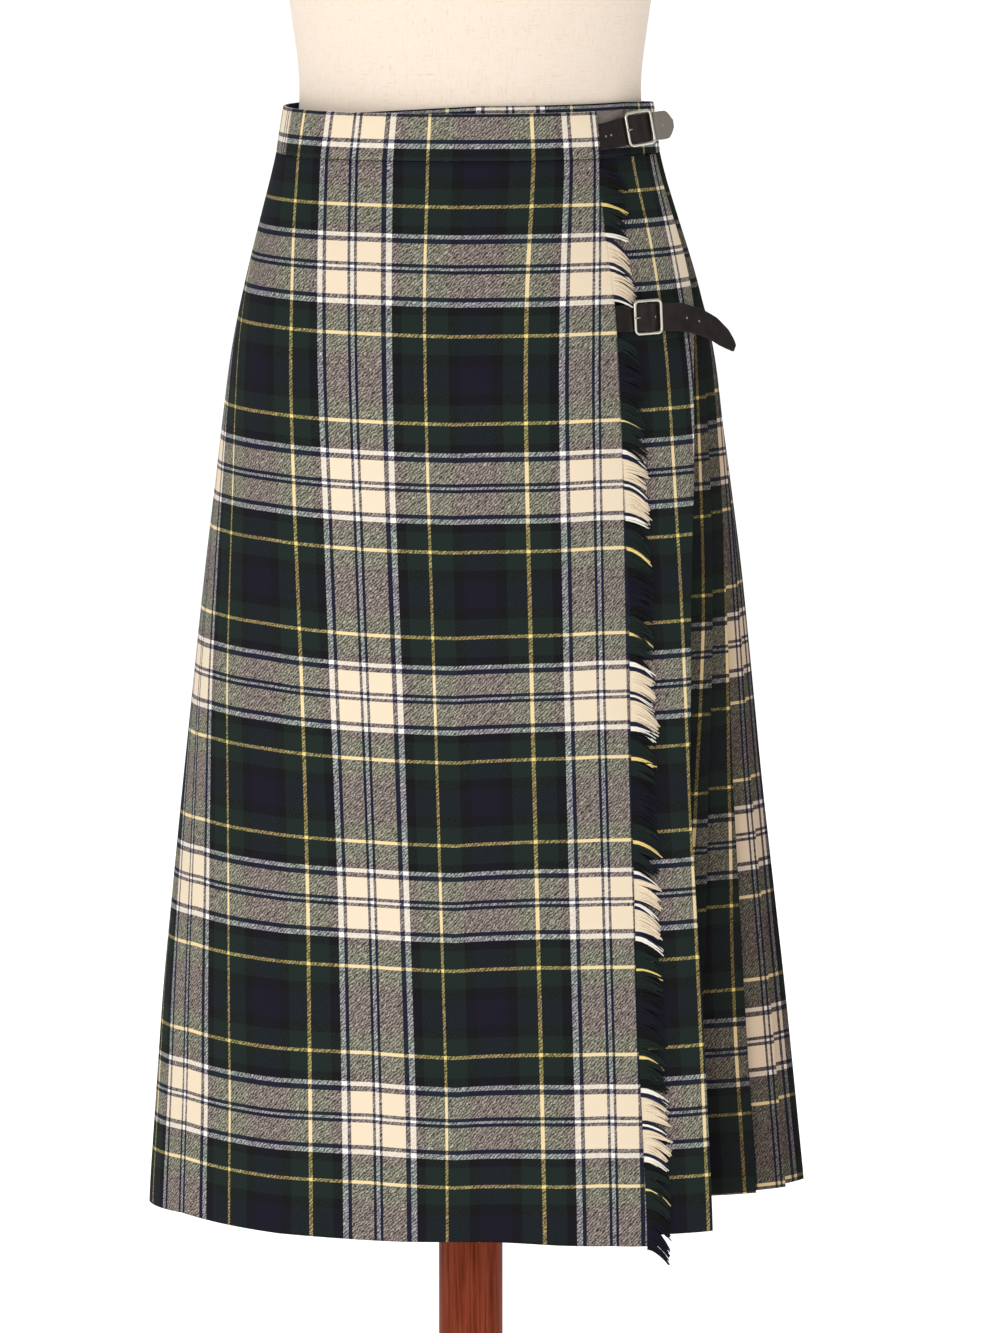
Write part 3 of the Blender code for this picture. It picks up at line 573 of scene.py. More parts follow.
def tartan_twill(name, kept, tone):
    """The cloth's material. kept is the share of the light yarn seen where it crosses dark; kept below 1
    and a tone darker than white are painted shade.
    """
    finish = new_finish(name, Roughness=0.9, Specular_IOR_Level=0.06)
    cut = add_node(finish, "ShaderNodeUVMap", uv_map="cut").outputs["UV"]
    parts = add_node(finish, "ShaderNodeSeparateXYZ", {0: cut})
    across, down = parts.outputs["X"], parts.outputs["Y"]
    yarns, greens = [], []
    for place, repeat, sett in ((across, WARP_REPEAT, WARP_SETT), (down, WEFT_REPEAT, WEFT_SETT)):
        yarns.append(sett_colour(finish, place, repeat, sett))
        is_green = [(width, "#ffffff" if colour == GREEN else "#000000") for width, colour in sett]
        greens.append(sett_colour(finish, place, repeat, is_green))
    twill = math_node(finish, "MULTIPLY", math_node(finish, "ADD", across, down),
                      2 * math.pi / (4 * THREAD * MM))
    wander = flecks(finish, cut, WANDER_SIZE, WANDER_SIZE, -WANDER, WANDER)
    wave = math_node(finish, "SINE", math_node(finish, "ADD", twill, wander))
    warp_up = math_node(finish, "MULTIPLY_ADD", wave, TWILL_SHOWS, 0.5)
    yarn = add_node(finish, "ShaderNodeMix", {
        "Factor": warp_up, "A": yarns[1], "B": yarns[0]}, data_type="RGBA").outputs["Result"]
    lights = [add_node(finish, "ShaderNodeRGBToBW", {"Color": colour}).outputs[0] for colour in yarns]
    apart = math_node(finish, "ABSOLUTE", math_node(finish, "SUBTRACT", lights[0], lights[1]))
    hue = add_node(finish, "ShaderNodeMix", {
        "Factor": math_node(finish, "MAXIMUM", greens[0], greens[1]), "A": MIX_BROWN, "B": MIX_GREEN},
        data_type="RGBA").outputs["Result"]
    # kept below 1 darkens the mixed checks: painted shade
    blotches = flecks(finish, cut, BLOTCH_WIDE, BLOTCH_HIGH, kept * BLOTCH_LOW, kept * BLOTCH_TOP)
    fine_flecks = flecks(finish, cut, FLECK_SIZE, FLECK_SIZE, BLOTCH_LOW, BLOTCH_TOP)
    mottle = math_node(finish, "MULTIPLY", blotches, fine_flecks)
    speckle = add_node(
        finish, "ShaderNodeVectorMath", {0: hue, "Scale": mottle}, operation="SCALE").outputs[0]
    dulled = add_node(finish, "ShaderNodeMix", {
        "Factor": math_node(finish, "MULTIPLY", apart, MIX_DARKENS), "A": (1, 1, 1, 1), "B": speckle},
        data_type="RGBA").outputs["Result"]
    woven = add_node(finish, "ShaderNodeMix", {
        "Factor": 1.0, "A": yarn, "B": dulled}, data_type="RGBA", blend_type="MULTIPLY")
    # The tone multiplies every colour; a tone darker than white is painted shade
    shade_toned = add_node(finish, "ShaderNodeMix", {
        "Factor": 1.0, "A": woven.outputs["Result"], "B": linear(tone)},
        data_type="RGBA", blend_type="MULTIPLY")
    shade(finish, Base_Color=shade_toned.outputs["Result"])
    return finish


tartan = tartan_twill("worsted tartan in 2/2 twill", 1.0, "#ffffff")
fit(under_apron, tartan, "tartan_wool", "under_apron")


# Pleated back
# Two widths of the same tartan in knife pleats that all point one way, stitched flat from the
# waist to the hip and free below it. The widths are joined at a hidden fold at the back.
# The same worsted drawn darker, and a little warmer, in its mixed checks and all over: painted
# shade for the folds and recesses of the pleats.
pleat_shaded_tartan = tartan_twill("worsted tartan with painted pleat shade", 0.6, "#ded5d2")
PLEAT_FACE = 9
PLEAT_TURN = 5
# Where each visible pleat's fold edge lies across the cut, the step from fold to fold after
# them, and how far each pleat's weft hangs off its row, typed in from a script's measurements
PLEAT_NAMES = ("level", 1, 2, 3, 4)
PLEAT_CUTS = (
    (900, -36.0, -48.0, -1.0, 28.5), (820, -36.0, -48.0, 2.0, 28.5), (700, -37.6, -44.5, 3.5, 28.5),
    (570, -36.0, -41.5, 4.0, 29.5), (480, -31.5, -37.5, 4.5, 33.0), (400, -26.5, -36.5, 5.0, 34.0),
    (300, -25.0, -37.0, 5.0, 34.0),
)
PLEAT_STEP = 27.6
PLEAT_LEAN = (
    (907, -5.5, -6.0, -2.8, -1.5), (817, -6.0, -4.5, -6.0, -1.5), (741, -3.5, -2.2, -1.4, -1.2),
    (651, -3.5, -1.4, 0.5, 0.2), (568, -2.3, -0.7, 2.5, 2.2), (484, 0.4, 0.3, 4.2, 3.4),
    (436, -1.6, -2.2, 1.9, 0.8), (366, -5.2, -5.0, -0.6, -0.4), (300, -6.0, -5.0, -1.5, -1.0),
)
PLEAT_BANDS = (1102, 960, 819, 677.5, 537, 391.5, 247)
PLEAT_COUNT = HIDDEN_PLEATS + 4
MIDDLE_PLEAT = PLEAT_COUNT // 2


def pleat_line(level, first, last):
    ring = Ring(level, True)
    places = fold_places(ring, level)
    depth, size = fold_at("depth", level), fold_at("fold", level)
    along, inward, across, lean = [], [], [], []
    for count in range(first, last + 1):
        before, edge = places[count - 1], places[count]
        lap = UNDERLAP * (edge - before)
        lap_before = UNDERLAP * (places[count - 1] - places[count - 2]) if count > 1 else lap
        start = before - lap_before
        face = np.linspace(start, edge - size / 2, PLEAT_FACE)
        share = (face - start) / (edge - start)
        round_along, round_in = turn_back(edge, 0.0, size)
        back = np.array((edge - lap * 0.5, edge - lap))
        back_in = np.array((size + (depth - size) * 0.4, depth - 1.2))
        here = np.concatenate((face, round_along, back))
        in_here = np.concatenate((depth * (1 - share), round_in, back_in))
        run = np.concatenate(([0.0], np.cumsum(np.hypot(np.diff(here), np.diff(in_here)))))
        shown = column(PLEAT_CUTS, PLEAT_NAMES, min(count, 4), level) + PLEAT_STEP * max(count - 4, 0)
        across.append(shown + (run - run[PLEAT_FACE]) / GIVE)
        lean.append(np.full(len(here), column(PLEAT_LEAN, PLEAT_NAMES, min(count, 4), level)))
        along.append(here)
        inward.append(in_here)
    x, y = ring.points(np.concatenate(along), np.concatenate(inward))
    return np.column_stack((x, y, np.concatenate(across), np.concatenate(lean)))


def pleat_hems(first, last):
    """The hem is a little higher beside the fringe than at the last pleat."""
    hems = []
    for count in range(first, last + 1):
        share = ease((count - 5) / (PLEAT_COUNT - 5))
        hem = PLEAT_HEM + (LAST_PLEAT_HEM - PLEAT_HEM) * share
        hems += [hem] * (PLEAT_FACE + PLEAT_TURN + 2)
    return np.array(hems)


for side, first_pleat, last_pleat in (
    ("right", 1, MIDDLE_PLEAT), ("left", MIDDLE_PLEAT + 1, PLEAT_COUNT),
):
    panel = lay_cloth(
        "pleated_back_" + side,
        lambda level: pleat_line(level, first_pleat, last_pleat),
        pleat_hems(first_pleat, last_pleat), PLEAT_BANDS)
    # The pleats take the darker tartan, whose darkness is painted shade
    fit(panel, pleat_shaded_tartan, "tartan_wool", "back_panel_" + side)


# Outer apron
# The outer front width, cut on the straight grain. It comes out from under the last pleat,
# goes round the left hip and over the front, and ends at its fringed free edge.
# Where the warp's yellow lines and light stripes lie along the outline, in millimetres. A
# script that matched the render with the photograph worked these rows out.
WARP_NAMES = ("level", "gold_far", "gold_left", "light_left", "light_right", "gold_middle",
              "gold_right", "light_two")
WARP_LINES = (
    (1026, -209.0, -134.0, -110.0, -52.9, -28.5, 43.7, 93.6),
    (940, -204.5, -130.5, -108.1, -53.4, -30.9, 38.2, 90.9),
    (870, -196.7, -129.4, -106.5, -52.5, -29.9, 37.3, 89.8),
    (800, -192.0, -126.6, -103.2, -50.9, -28.0, 38.5, 90.6),
    (660, -190.4, -120.0, -97.9, -45.7, -23.7, 41.9, 92.6),
    (522, -183.0, -116.0, -92.5, -41.5, -19.8, 45.4, 96.3),
    (384, -178.4, -114.3, -90.1, -37.2, -15.9, 48.9, 99.9),
    (290, -178.4, -113.6, -89.2, -36.2, -15.6, 51.0, 101.8),
)
LIGHT_EDGE = 25.1
WARP_CUTS = (YELLOW - WARP_REPEAT, -YELLOW, -LIGHT_EDGE, LIGHT_EDGE, YELLOW,
             WARP_REPEAT - YELLOW, WARP_REPEAT)
APRON_BANDS = (1097, 956.4, 807.4, 664.3, 521.3, 371.7, 229)
# How far the weft sags below its row, in millimetres, from the left hip to the free edge,
# typed in from the same script's shifts
LEAN_PLACES = (-150, -70, -10, 50, 90)
LEAN_NAMES = ("level", *LEAN_PLACES)
WEFT_LEAN = (
    (1000, -1.9, -1.9, -3.0, -2.3, -2.6),
    (930, -0.3, -1.4, -3.0, -2.7, -2.1),
    (880, 1.0, -0.5, -2.1, -0.8, -0.1),
    (780, 2.4, 0.0, -1.5, -0.2, 1.4),
    (680, 1.5, -1.5, -3.0, 0.0, 1.6),
    (580, 0.2, -0.7, -2.6, 1.9, 3.0),
    (480, -0.5, 0.0, -1.9, 2.1, 2.5),
    (430, -0.4, 1.0, -1.5, 2.5, 3.4),
    (380, -2.8, -0.7, -3.6, 0.0, 0.9),
    (330, -4.6, -3.5, -6.0, -3.5, -1.8),
)
# How much higher than a straight run the hem hangs, from the left hip to the free edge, as
# measured by script
HEM_LIFT = ((-300, 0.0), (-250, 1.2), (-200, 4.6), (-165, 2.8), (-120, 0.8), (-40, 0.6),
            (57, 2.0), (91, 3.4), (130, 2.2))
APRON_POINTS = 230
# The cloth hangs in very shallow ripples that deepen towards the hem
RIPPLE = 1.3
RIPPLE_TOP, RIPPLE_RUN = 900.0, 500.0
RIPPLE_WAVES = ((17.0, 210.0, 0.0), (29.0, -160.0, 1.0))
FAR = 500.0


def apron_cut(along, level):
    """The place across the cut, from where the warp lines lie on the outline at this height."""
    lines = [column(WARP_LINES, WARP_NAMES, name, level, SOFT) for name in WARP_NAMES[1:]]
    lines = [lines[0] - FAR, *lines, lines[-1] + FAR]
    cuts = [WARP_CUTS[0] - FAR / GIVE, *WARP_CUTS, WARP_CUTS[-1] + FAR / GIVE]
    return np.interp(along, lines, cuts)


def weft_lean(along, level):
    leans = [column(WEFT_LEAN, LEAN_NAMES, place, level, SOFT) for place in LEAN_PLACES]
    return np.interp(along, LEAN_PLACES, leans)


def outer_apron_line(level):
    ring, pleats = Ring(level), Ring(level, True)
    places = fold_places(pleats, level)
    reach = places[-1] - places[-2]
    start = ring.at_degrees(LAST_FOLD - 360.0) - UNDERLAP * reach
    along = np.linspace(start, ring.free, APRON_POINTS)
    sunk = fold_at("depth", level) * np.maximum(
        0.0, 1.0 - (along - start) / (1.0 + UNDERLAP) / reach)
    low = ease((RIPPLE_TOP - level) / RIPPLE_RUN)
    waves = sum(np.sin(along / wide + level / tall + shift) for wide, tall, shift in RIPPLE_WAVES)
    x, y = ring.points(along, sunk + 0.5 * RIPPLE * low * (waves * 0.5 + 0.5))
    return np.column_stack((x, y, apron_cut(along, level), weft_lean(along, level)))


apron_share = np.linspace(0.0, 1.0, APRON_POINTS)
middle_ring = Ring(640.0)
behind = -middle_ring.at_degrees(LAST_FOLD - 360.0)
from_front = (apron_share * (behind + middle_ring.free) - behind) / middle_ring.free
apron_hems = np.where(
    from_front < 0,
    HEM + (LAST_PLEAT_HEM - HEM) * ease(1.0 - 4.0 * apron_share),
    HEM + (FREE_CORNER_HEM - HEM) * ease(from_front))
apron_hems += np.interp(from_front * middle_ring.free, *zip(*HEM_LIFT))
outer_apron = lay_cloth("outer_apron_cloth", outer_apron_line, apron_hems, APRON_BANDS)
fit(outer_apron, tartan, "tartan_wool", "outer_apron")


# Fringe
# The outer apron's own weft yarns, drawn out along the free edge and left hanging in small
# locks, so each has the colour of the weft at its root. They lean right and droop.
FRINGE_TOP = 1020.0
FRINGE_PITCH = 0.8
YARN = 0.5
YARN_SIDES = 4
YARN_STEPS = 5
YARN_LENGTH = 19.5
LOCK_YARNS = 7
# Shares of a yarn's length: how far it droops, how uneven locks and yarns are, and how much
# more it droops or reaches low down and by the waist
DROOP, LOCK_DROOP, UNEVEN = 0.52, 0.10, 0.05
LOW_DROOP, HIGH_DROOP, LOW_SHORTER, HIGH_LONGER = 0.4, 0.2, 0.18, 0.2
GATHER = 0.55
LIFT = 1.4
YARN_DEEP = 1.5
STRAP_BARE = (906.0, 931.0)


def weft_place(level, bands):
    """The place down the cut at a height, from the heights of the light bands."""
    return np.interp(level, bands[::-1], range(len(bands) - 1, -1, -1)) * WEFT_REPEAT


def corner_drop(level):
    """How much lower a row lies at the free corner than in the middle of the front."""
    return (SEAM - level) / (SEAM - HEM) * (HEM - FREE_CORNER_HEM)


draw = np.random.default_rng(7)
yarn_levels = np.arange(HEM + 1.0, FRINGE_TOP, FRINGE_PITCH)
fringe_verts, fringe_faces, fringe_cut = [], [], []
lock_droop, lock_reach = 0.0, 0.0
for yarn_count, yarn_level in enumerate(yarn_levels):
    root_level = yarn_level - corner_drop(yarn_level)
    if yarn_count % LOCK_YARNS == 0:
        lock_droop = draw.normal(0.0, LOCK_DROOP)
        lock_reach = draw.normal(0.0, UNEVEN)
        lock_middle = root_level + LOCK_YARNS / 2 * FRINGE_PITCH
    if STRAP_BARE[0] < root_level < STRAP_BARE[1]:
        continue
    ring = Ring(root_level)
    low = float(ease((360.0 - root_level) / 90.0))
    high = float(ease((root_level - 960.0) / 60.0))
    uneven_reach = 1.0 + lock_reach + draw.normal(0.0, UNEVEN)
    reach = YARN_LENGTH * uneven_reach * (1.0 - LOW_SHORTER * low + HIGH_LONGER * high)
    uneven_droop = DROOP + LOW_DROOP * low - HIGH_DROOP * high + lock_droop
    droop = reach * (uneven_droop + draw.normal(0.0, UNEVEN))
    gather = (lock_middle - root_level) * GATHER
    yarn_place = weft_place(yarn_level, APRON_BANDS) + weft_lean(ring.free, root_level)
    lift = draw.uniform(0.0, LIFT)
    spine = []
    for step in range(YARN_STEPS + 1):
        share = step / YARN_STEPS
        level = root_level - droop * share ** 1.6 + gather * share ** 2
        x, y = ring.points(ring.free - 0.8 + reach * share, 0.4 - lift * math.sin(share * math.pi * 0.8))
        spine.append(Vector((float(x), float(y), level)))
    for step, point in enumerate(spine):
        ahead = (spine[min(step + 1, YARN_STEPS)] - spine[max(step - 1, 0)]).normalized()
        side = ahead.cross(Vector((0, 0, 1))).normalized()
        over = side.cross(ahead)
        thick = YARN * (1.0 - 0.45 * (step / YARN_STEPS) ** 3)
        for corner in range(YARN_SIDES):
            turn = 2 * math.pi * corner / YARN_SIDES
            place = point + side * thick * math.cos(turn) + over * thick * YARN_DEEP * math.sin(turn)
            fringe_verts.append(place * MM)
            fringe_cut.append(yarn_place * MM)
    first = len(fringe_verts) - YARN_SIDES * (YARN_STEPS + 1)
    for step in range(YARN_STEPS):
        for corner in range(YARN_SIDES):
            here = first + step * YARN_SIDES + corner
            beside = first + step * YARN_SIDES + (corner + 1) % YARN_SIDES
            fringe_faces.append((here, beside, beside + YARN_SIDES, here + YARN_SIDES))
    fringe_faces.append(tuple(first + corner for corner in reversed(range(YARN_SIDES))))
    tip = first + YARN_STEPS * YARN_SIDES
    fringe_faces.append(tuple(tip + corner for corner in range(YARN_SIDES)))
fringe_mesh = bpy.data.meshes.new("drawn_fringe")
fringe_mesh.from_pydata(fringe_verts, [], fringe_faces)
fringe_uv = fringe_mesh.uv_layers.new(name="cut")
for loop in fringe_mesh.loops:
    fringe_uv.uv[loop.index].vector = (0.0, fringe_cut[loop.vertex_index])
fringe = bpy.data.objects.new("drawn_fringe", fringe_mesh)
bpy.context.scene.collection.objects.link(fringe)
only(fringe)
bpy.ops.object.mode_set(mode="EDIT")
bpy.ops.mesh.select_all(action="SELECT")
bpy.ops.mesh.normals_make_consistent(inside=False)
bpy.ops.object.mode_set(mode="OBJECT")
bpy.ops.object.shade_smooth()

# Loose worsted yarn: the same dyed colours as the weft, hairy and fully matt.
yarn = new_finish("drawn worsted yarn", Roughness=0.95, Specular_IOR_Level=0.1)
yarn_cut = add_node(yarn, "ShaderNodeUVMap", uv_map="cut").outputs["UV"]
yarn_down = add_node(yarn, "ShaderNodeSeparateXYZ", {0: yarn_cut}).outputs["Y"]
shade(yarn, Base_Color=sett_colour(yarn, yarn_down, WEFT_REPEAT, WEFT_SETT))
fit(fringe, yarn, "fringe_yarn", "apron_fringe")


# Waistband
# A strip of the same tartan folded over along its top edge. It starts in under the front,
# goes once round and ends over the front at the strap, with its under end standing higher.
BAND_TOP = 1058.0
BAND_BOTTOM = 1026.0
BAND_THICK = 2.4
BACK_LAY = 3.7
BAND_LAY = (
    (-46, UNDER_LAY), (57, UNDER_LAY), (85, 0.0), (100, 0.0), (130, BACK_LAY), (230, BACK_LAY),
    (262, 0.0), (403, 0.0),
)
# How much higher than the outer end the band stands: its under end rises from behind it
BAND_LIFT = ((-46, -1.0), (-33, 0.0), (3, 5.0), (60, 5.0), (120, 0.0))
BAND_POINTS = 420
# The section of the folded strip: in from its face, and up as a share of the band's height
BAND_SECTION = (
    (1.1, 0.0), (0.25, 0.0), (0.0, 0.03), (-0.12, 0.25), (-0.15, 0.5), (-0.12, 0.75), (0.0, 0.96),
    (0.35, 0.99), (1.2, 1.0), (2.05, 0.99), (2.4, 0.96), (2.4, 0.5), (2.4, 0.03), (1.9, 0.0),
)
UNDER_BAND_MIDDLE = 30.0
UNDER_BAND_DOWN = -25.4
# The under band's weft pattern is squeezed down it, so that its foot below the strap runs into a dark
# stripe: painted shade from the strap
UNDER_BAND_SHADE_SQUEEZE = 1.6
band_top_ring, band_low_ring = Ring(BAND_TOP), Ring(BAND_BOTTOM)
band_end = float(np.interp(band_top_ring.free, band_top_ring.length, band_top_ring.degrees))
band_degrees = np.linspace(BAND_LAY[0][0], 360.0 + band_end, BAND_POINTS)
band_turned = np.where(band_degrees < 290.0, band_degrees, band_degrees - 360.0)
band_in = np.interp(band_degrees, [row[0] for row in BAND_LAY], [row[1] for row in BAND_LAY])
band_rise = np.interp(band_degrees, [row[0] for row in BAND_LIFT], [row[1] for row in BAND_LIFT])
band_places = np.zeros((len(BAND_SECTION), BAND_POINTS, 3))
band_cut = np.zeros((len(BAND_SECTION), BAND_POINTS, 2))
for section_row, (inward, up) in enumerate(BAND_SECTION):
    ends = [
        np.column_stack(ring.points(np.interp(band_turned, ring.degrees, ring.length), band_in + inward))
        for ring in (band_low_ring, band_top_ring)
    ]
    height = BAND_TOP + band_rise - BAND_BOTTOM
    band_places[section_row, :, :2] = ends[0] + (ends[1] - ends[0]) * up
    band_places[section_row, :, 2] = BAND_BOTTOM + height * up
    along = np.interp(band_turned, band_low_ring.degrees, band_low_ring.length)
    outer = apron_cut(along, BAND_BOTTOM)
    under = (along - UNDER_BAND_MIDDLE) / GIVE
    upper_layer = band_degrees > 110.0
    band_cut[section_row, :, 0] = np.where(upper_layer, outer, under)
    from_top = height * (1 - up) if inward < 1.0 or up < 0.5 else -inward
    # The under layer's squeezed weft puts a dark stripe at its foot: painted shade from the strap
    band_cut[section_row, :, 1] = np.where(
        upper_layer, 0.6 + from_top, UNDER_BAND_DOWN + UNDER_BAND_SHADE_SQUEEZE * from_top)
waistband = grid_of("waistband_cloth", band_places[::-1] * MM, band_cut[::-1] * MM)
band_wall = waistband.modifiers.new("wall", "SOLIDIFY")
band_wall.thickness = 0.6 * MM
band_wall.offset = -1.0
bpy.ops.object.modifier_apply(modifier="wall")
fit(waistband, tartan, "tartan_wool", "waistband")


# Straps
# Strips of dark brown bridle leather, 19 mm wide, cut to a blunt point, with punched holes; the
# creased line beside each edge is not drawn. Each passes through its buckle and lies on the cloth.
LEATHER = 1.8
BAND_WALL = 2.5
CLOTH_WALL = 1.0
SLACK = 0.3
TAB_WALL = 0.9
STRAP_NAMES = ("along", "turn", "drop", "width")
WAIST_STRAP = (
    (-5, 0, 2.0, 16.8), (0, 0, 1.7, 17.0), (12, 0, 0.1, 18.6), (22, 0, -1.6, 19.4),
    (40, 0, -4.2, 19.4), (52, 0, -5.1, 19.4), (58, 0, -5.5, 19.8), (62.2, 0, -5.8, 19.2),
    (65, 0, -6.0, 13.5), (67.5, 0, -6.2, 4.0),
)
HIP_STRAP = (
    (-5, 0, 0.0, 17.7), (0, 0, 0.0, 17.8), (10, 0, 0.0, 19.0), (20, 0, -0.2, 19.4),
    (38, 2, 0.0, 19.4), (56, 6, 1.2, 19.4), (72, 10, 5.4, 18.8), (84, 12, 10.8, 17.4),
    (94, 13, 18.0, 14.5), (100, 13, 23.5, 9.0), (102.5, 13, 26.5, 4.5),
)
WAIST_LEVEL = 1041.0
HIP_LEVEL = 918.3
BUCKLE_WIDTH = 21.2
BUCKLE_HEIGHT = 22.4
WIRE = 1.1
WEAVE = 1.6
STRAP_ROWS = 130
STRAP_COLUMNS = 12
STRAP_SOFT = 1.2
BURNISHED = 0.45
# Where along a strap it starts and ends to stand upright, and over what length it turns
UPRIGHT_FROM, UPRIGHT_RISE, UPRIGHT_TO, UPRIGHT_FALL = 8.0, 12.0, 42.0, 26.0
WAIST_BUCKLE_AT, HIP_BUCKLE_AT = 38.6, 27.4
WAIST_UPRIGHT, HIP_UPRIGHT = 0.0, 0.8


class StrapLine:
    """The straight line that a strap takes from the apron's free edge, leaning as the cloth does."""

    def __init__(self, level, inward):
        self.level = level
        self.start = self.edge(level, inward)
        self.heading = (self.start - self.edge(level, inward, 6.0)).normalized()
        self.flat = Vector((self.heading.y, -self.heading.x, 0.0))
        along = self.edge(level + 8.0, inward) - self.edge(level - 8.0, inward)
        self.lean = along.dot(self.flat) / along.z
        self.up, self.outward = self.leaned(1.0)

    def edge(self, level, inward, before=0.0):
        ring = Ring(level)
        x, y = ring.points(ring.free - before, inward)
        return Vector((float(x), float(y), level))

    def leaned(self, share):
        """Up and outward where the strap keeps this share of the cloth's lean."""
        up = Vector((0, 0, 1)) + self.flat * self.lean * share
        outward = self.flat - Vector((0, 0, 1)) * self.lean * share
        return up.normalized(), outward.normalized()

    def point(self, along, outward=0.0, up=0.0):
        return self.start + self.heading * along + self.outward * outward + self.up * up


def weave(along, middle):
    """A strap passes under the frame's side bars and over its middle bar."""
    off, half = abs(along - middle), BUCKLE_WIDTH / 2
    if off > half * 1.5:
        return 0.0
    if off > half:
        return -WEAVE * float(ease((half * 1.5 - off) / (half * 0.5)))
    return -WEAVE * math.cos(math.pi * (1.0 - off / half))


def strap_stations(line, table, middle, upright):
    """Middle, outward and heading of the strap at even steps, and its half width there."""
    ends = (table[0][0], table[-1][0])
    stations, place, before = [], line.point(ends[0]), ends[0]
    for along in np.linspace(*ends, STRAP_ROWS):
        turn, drop, width = (
            column(table, STRAP_NAMES, name, along, STRAP_SOFT) for name in STRAP_NAMES[1:])
        spin = Matrix.Rotation(math.radians(turn), 3, "Z")
        place = place + spin @ line.heading * (along - before)
        before = along
        rise = ease((along - UPRIGHT_FROM) / UPRIGHT_RISE)
        kept = 1.0 - upright * float(rise * (1.0 - ease((along - UPRIGHT_TO) / UPRIGHT_FALL)))
        outward = spin @ line.leaned(kept)[1]
        stations.append((place + outward * weave(along, middle) - line.up * drop, outward, width / 2))
    return stations


def leather_strap(name, stations):
    places = np.zeros((STRAP_ROWS, STRAP_COLUMNS + 1, 3))
    for row, (middle, outward, half) in enumerate(stations):
        ahead = stations[min(row + 1, STRAP_ROWS - 1)][0] - stations[max(row - 1, 0)][0]
        across = ahead.cross(outward).normalized()
        if across.z > 0:
            across = -across
        for count in range(STRAP_COLUMNS + 1):
            share = 2.0 * count / STRAP_COLUMNS - 1.0
            places[row, count] = middle + outward * LEATHER / 2 - across * half * share
    made = grid_of(name, places[:, ::-1].transpose(1, 0, 2) * MM)
    wall = made.modifiers.new("leather", "SOLIDIFY")
    wall.thickness = LEATHER * MM
    wall.offset = -1.0
    bpy.ops.object.modifier_apply(modifier="leather")
    rounding = made.modifiers.new("burnished edge", "BEVEL")
    rounding.width = BURNISHED * MM
    rounding.segments = 3
    rounding.limit_method = "ANGLE"
    rounding.angle_limit = math.radians(50)
    bpy.ops.object.modifier_apply(modifier="burnished edge")
    bpy.ops.object.shade_smooth_by_angle(angle=math.radians(40))
    return made


# Past its buckle the waist strap is drawn a paler grey brown: a painted sheen where its end
# turns round the hip and catches the light. NOWHERE lies beyond every strap.
PAINTED_SHEEN = "#766f68"
SHEEN_FADE = 2.5
WAIST_SHEEN_FROM = 124.5
NOWHERE = 1000.0


def bridle_leather(name, top, deep, sheen_from=NOWHERE):
    """Waxed vegetable-tanned leather: fine pores, a soft uneven shine and, past one place, a painted
    sheen.
    """
    finish = new_finish(name, Roughness=0.5, Specular_IOR_Level=0.22)
    place = add_node(finish, "ShaderNodeTexCoord").outputs["Object"]
    grain = add_node(finish, "ShaderNodeTexVoronoi", {"Vector": place, "Scale": 1 / (0.9 * MM)})
    cloudy = add_node(finish, "ShaderNodeTexNoise", {
        "Vector": place, "Scale": 1 / (6 * MM), "Detail": 4.0})
    tone = add_node(finish, "ShaderNodeValToRGB", {"Fac": cloudy.outputs["Fac"]})
    set_ramp(tone, ((0.35, deep), (0.65, top)))
    bump = add_node(finish, "ShaderNodeBump", {
        "Height": grain.outputs["Distance"], "Strength": 0.25, "Distance": 0.15 * MM})
    # Past one place across the strap the colour fades to a paler grey brown: painted sheen
    sideways = add_node(finish, "ShaderNodeSeparateXYZ", {0: place}).outputs["X"]
    sheen_mask = add_node(finish, "ShaderNodeMapRange", {
        "Value": sideways, "From Min": sheen_from * MM, "From Max": (sheen_from + SHEEN_FADE) * MM})
    sheen_painted = add_node(finish, "ShaderNodeMix", {
        "Factor": sheen_mask.outputs[0], "A": tone.outputs["Color"], "B": linear(PAINTED_SHEEN)},
        data_type="RGBA").outputs["Result"]
    shade(finish, Base_Color=sheen_painted, Normal=bump.outputs["Normal"])
    return finish


leather = bridle_leather("dark brown bridle leather", "#221a17", "#16100e")
# The waist strap's end past its buckle is painted paler: painted sheen
leather_with_painted_sheen = bridle_leather("bridle leather with a painted sheen at its end", "#221a17", "#16100e", WAIST_SHEEN_FROM)
raw_leather = new_finish("raw leather round a punched hole", Base_Color=linear("#8f8578"), Roughness=0.8)
HOLE_RADIUS = 0.75
HOLE_DEPTH = 0.12
HOLE_PROUD = 0.02


def punch(strap, stations, table, alongs):
    """Shows each punched hole as the ring of raw leather round it."""
    rings = []
    for along in alongs:
        share = (along - table[0][0]) / (table[-1][0] - table[0][0])
        middle, outward, _ = stations[round(share * (STRAP_ROWS - 1))]
        bpy.ops.object.select_all(action="DESELECT")
        bpy.ops.mesh.primitive_cylinder_add(vertices=16, radius=HOLE_RADIUS * MM, depth=HOLE_DEPTH * MM)
        ring = bpy.context.active_object
        turn = Vector((0, 0, 1)).rotation_difference(outward).to_matrix().to_4x4()
        at = middle + outward * (LEATHER / 2 + HOLE_PROUD)
        ring.data.transform(Matrix.Translation(at * MM) @ turn)
        ring.data.materials.append(raw_leather)
        rings.append(ring)
    only(strap)
    for ring in rings:
        ring.select_set(True)
    bpy.ops.object.join()


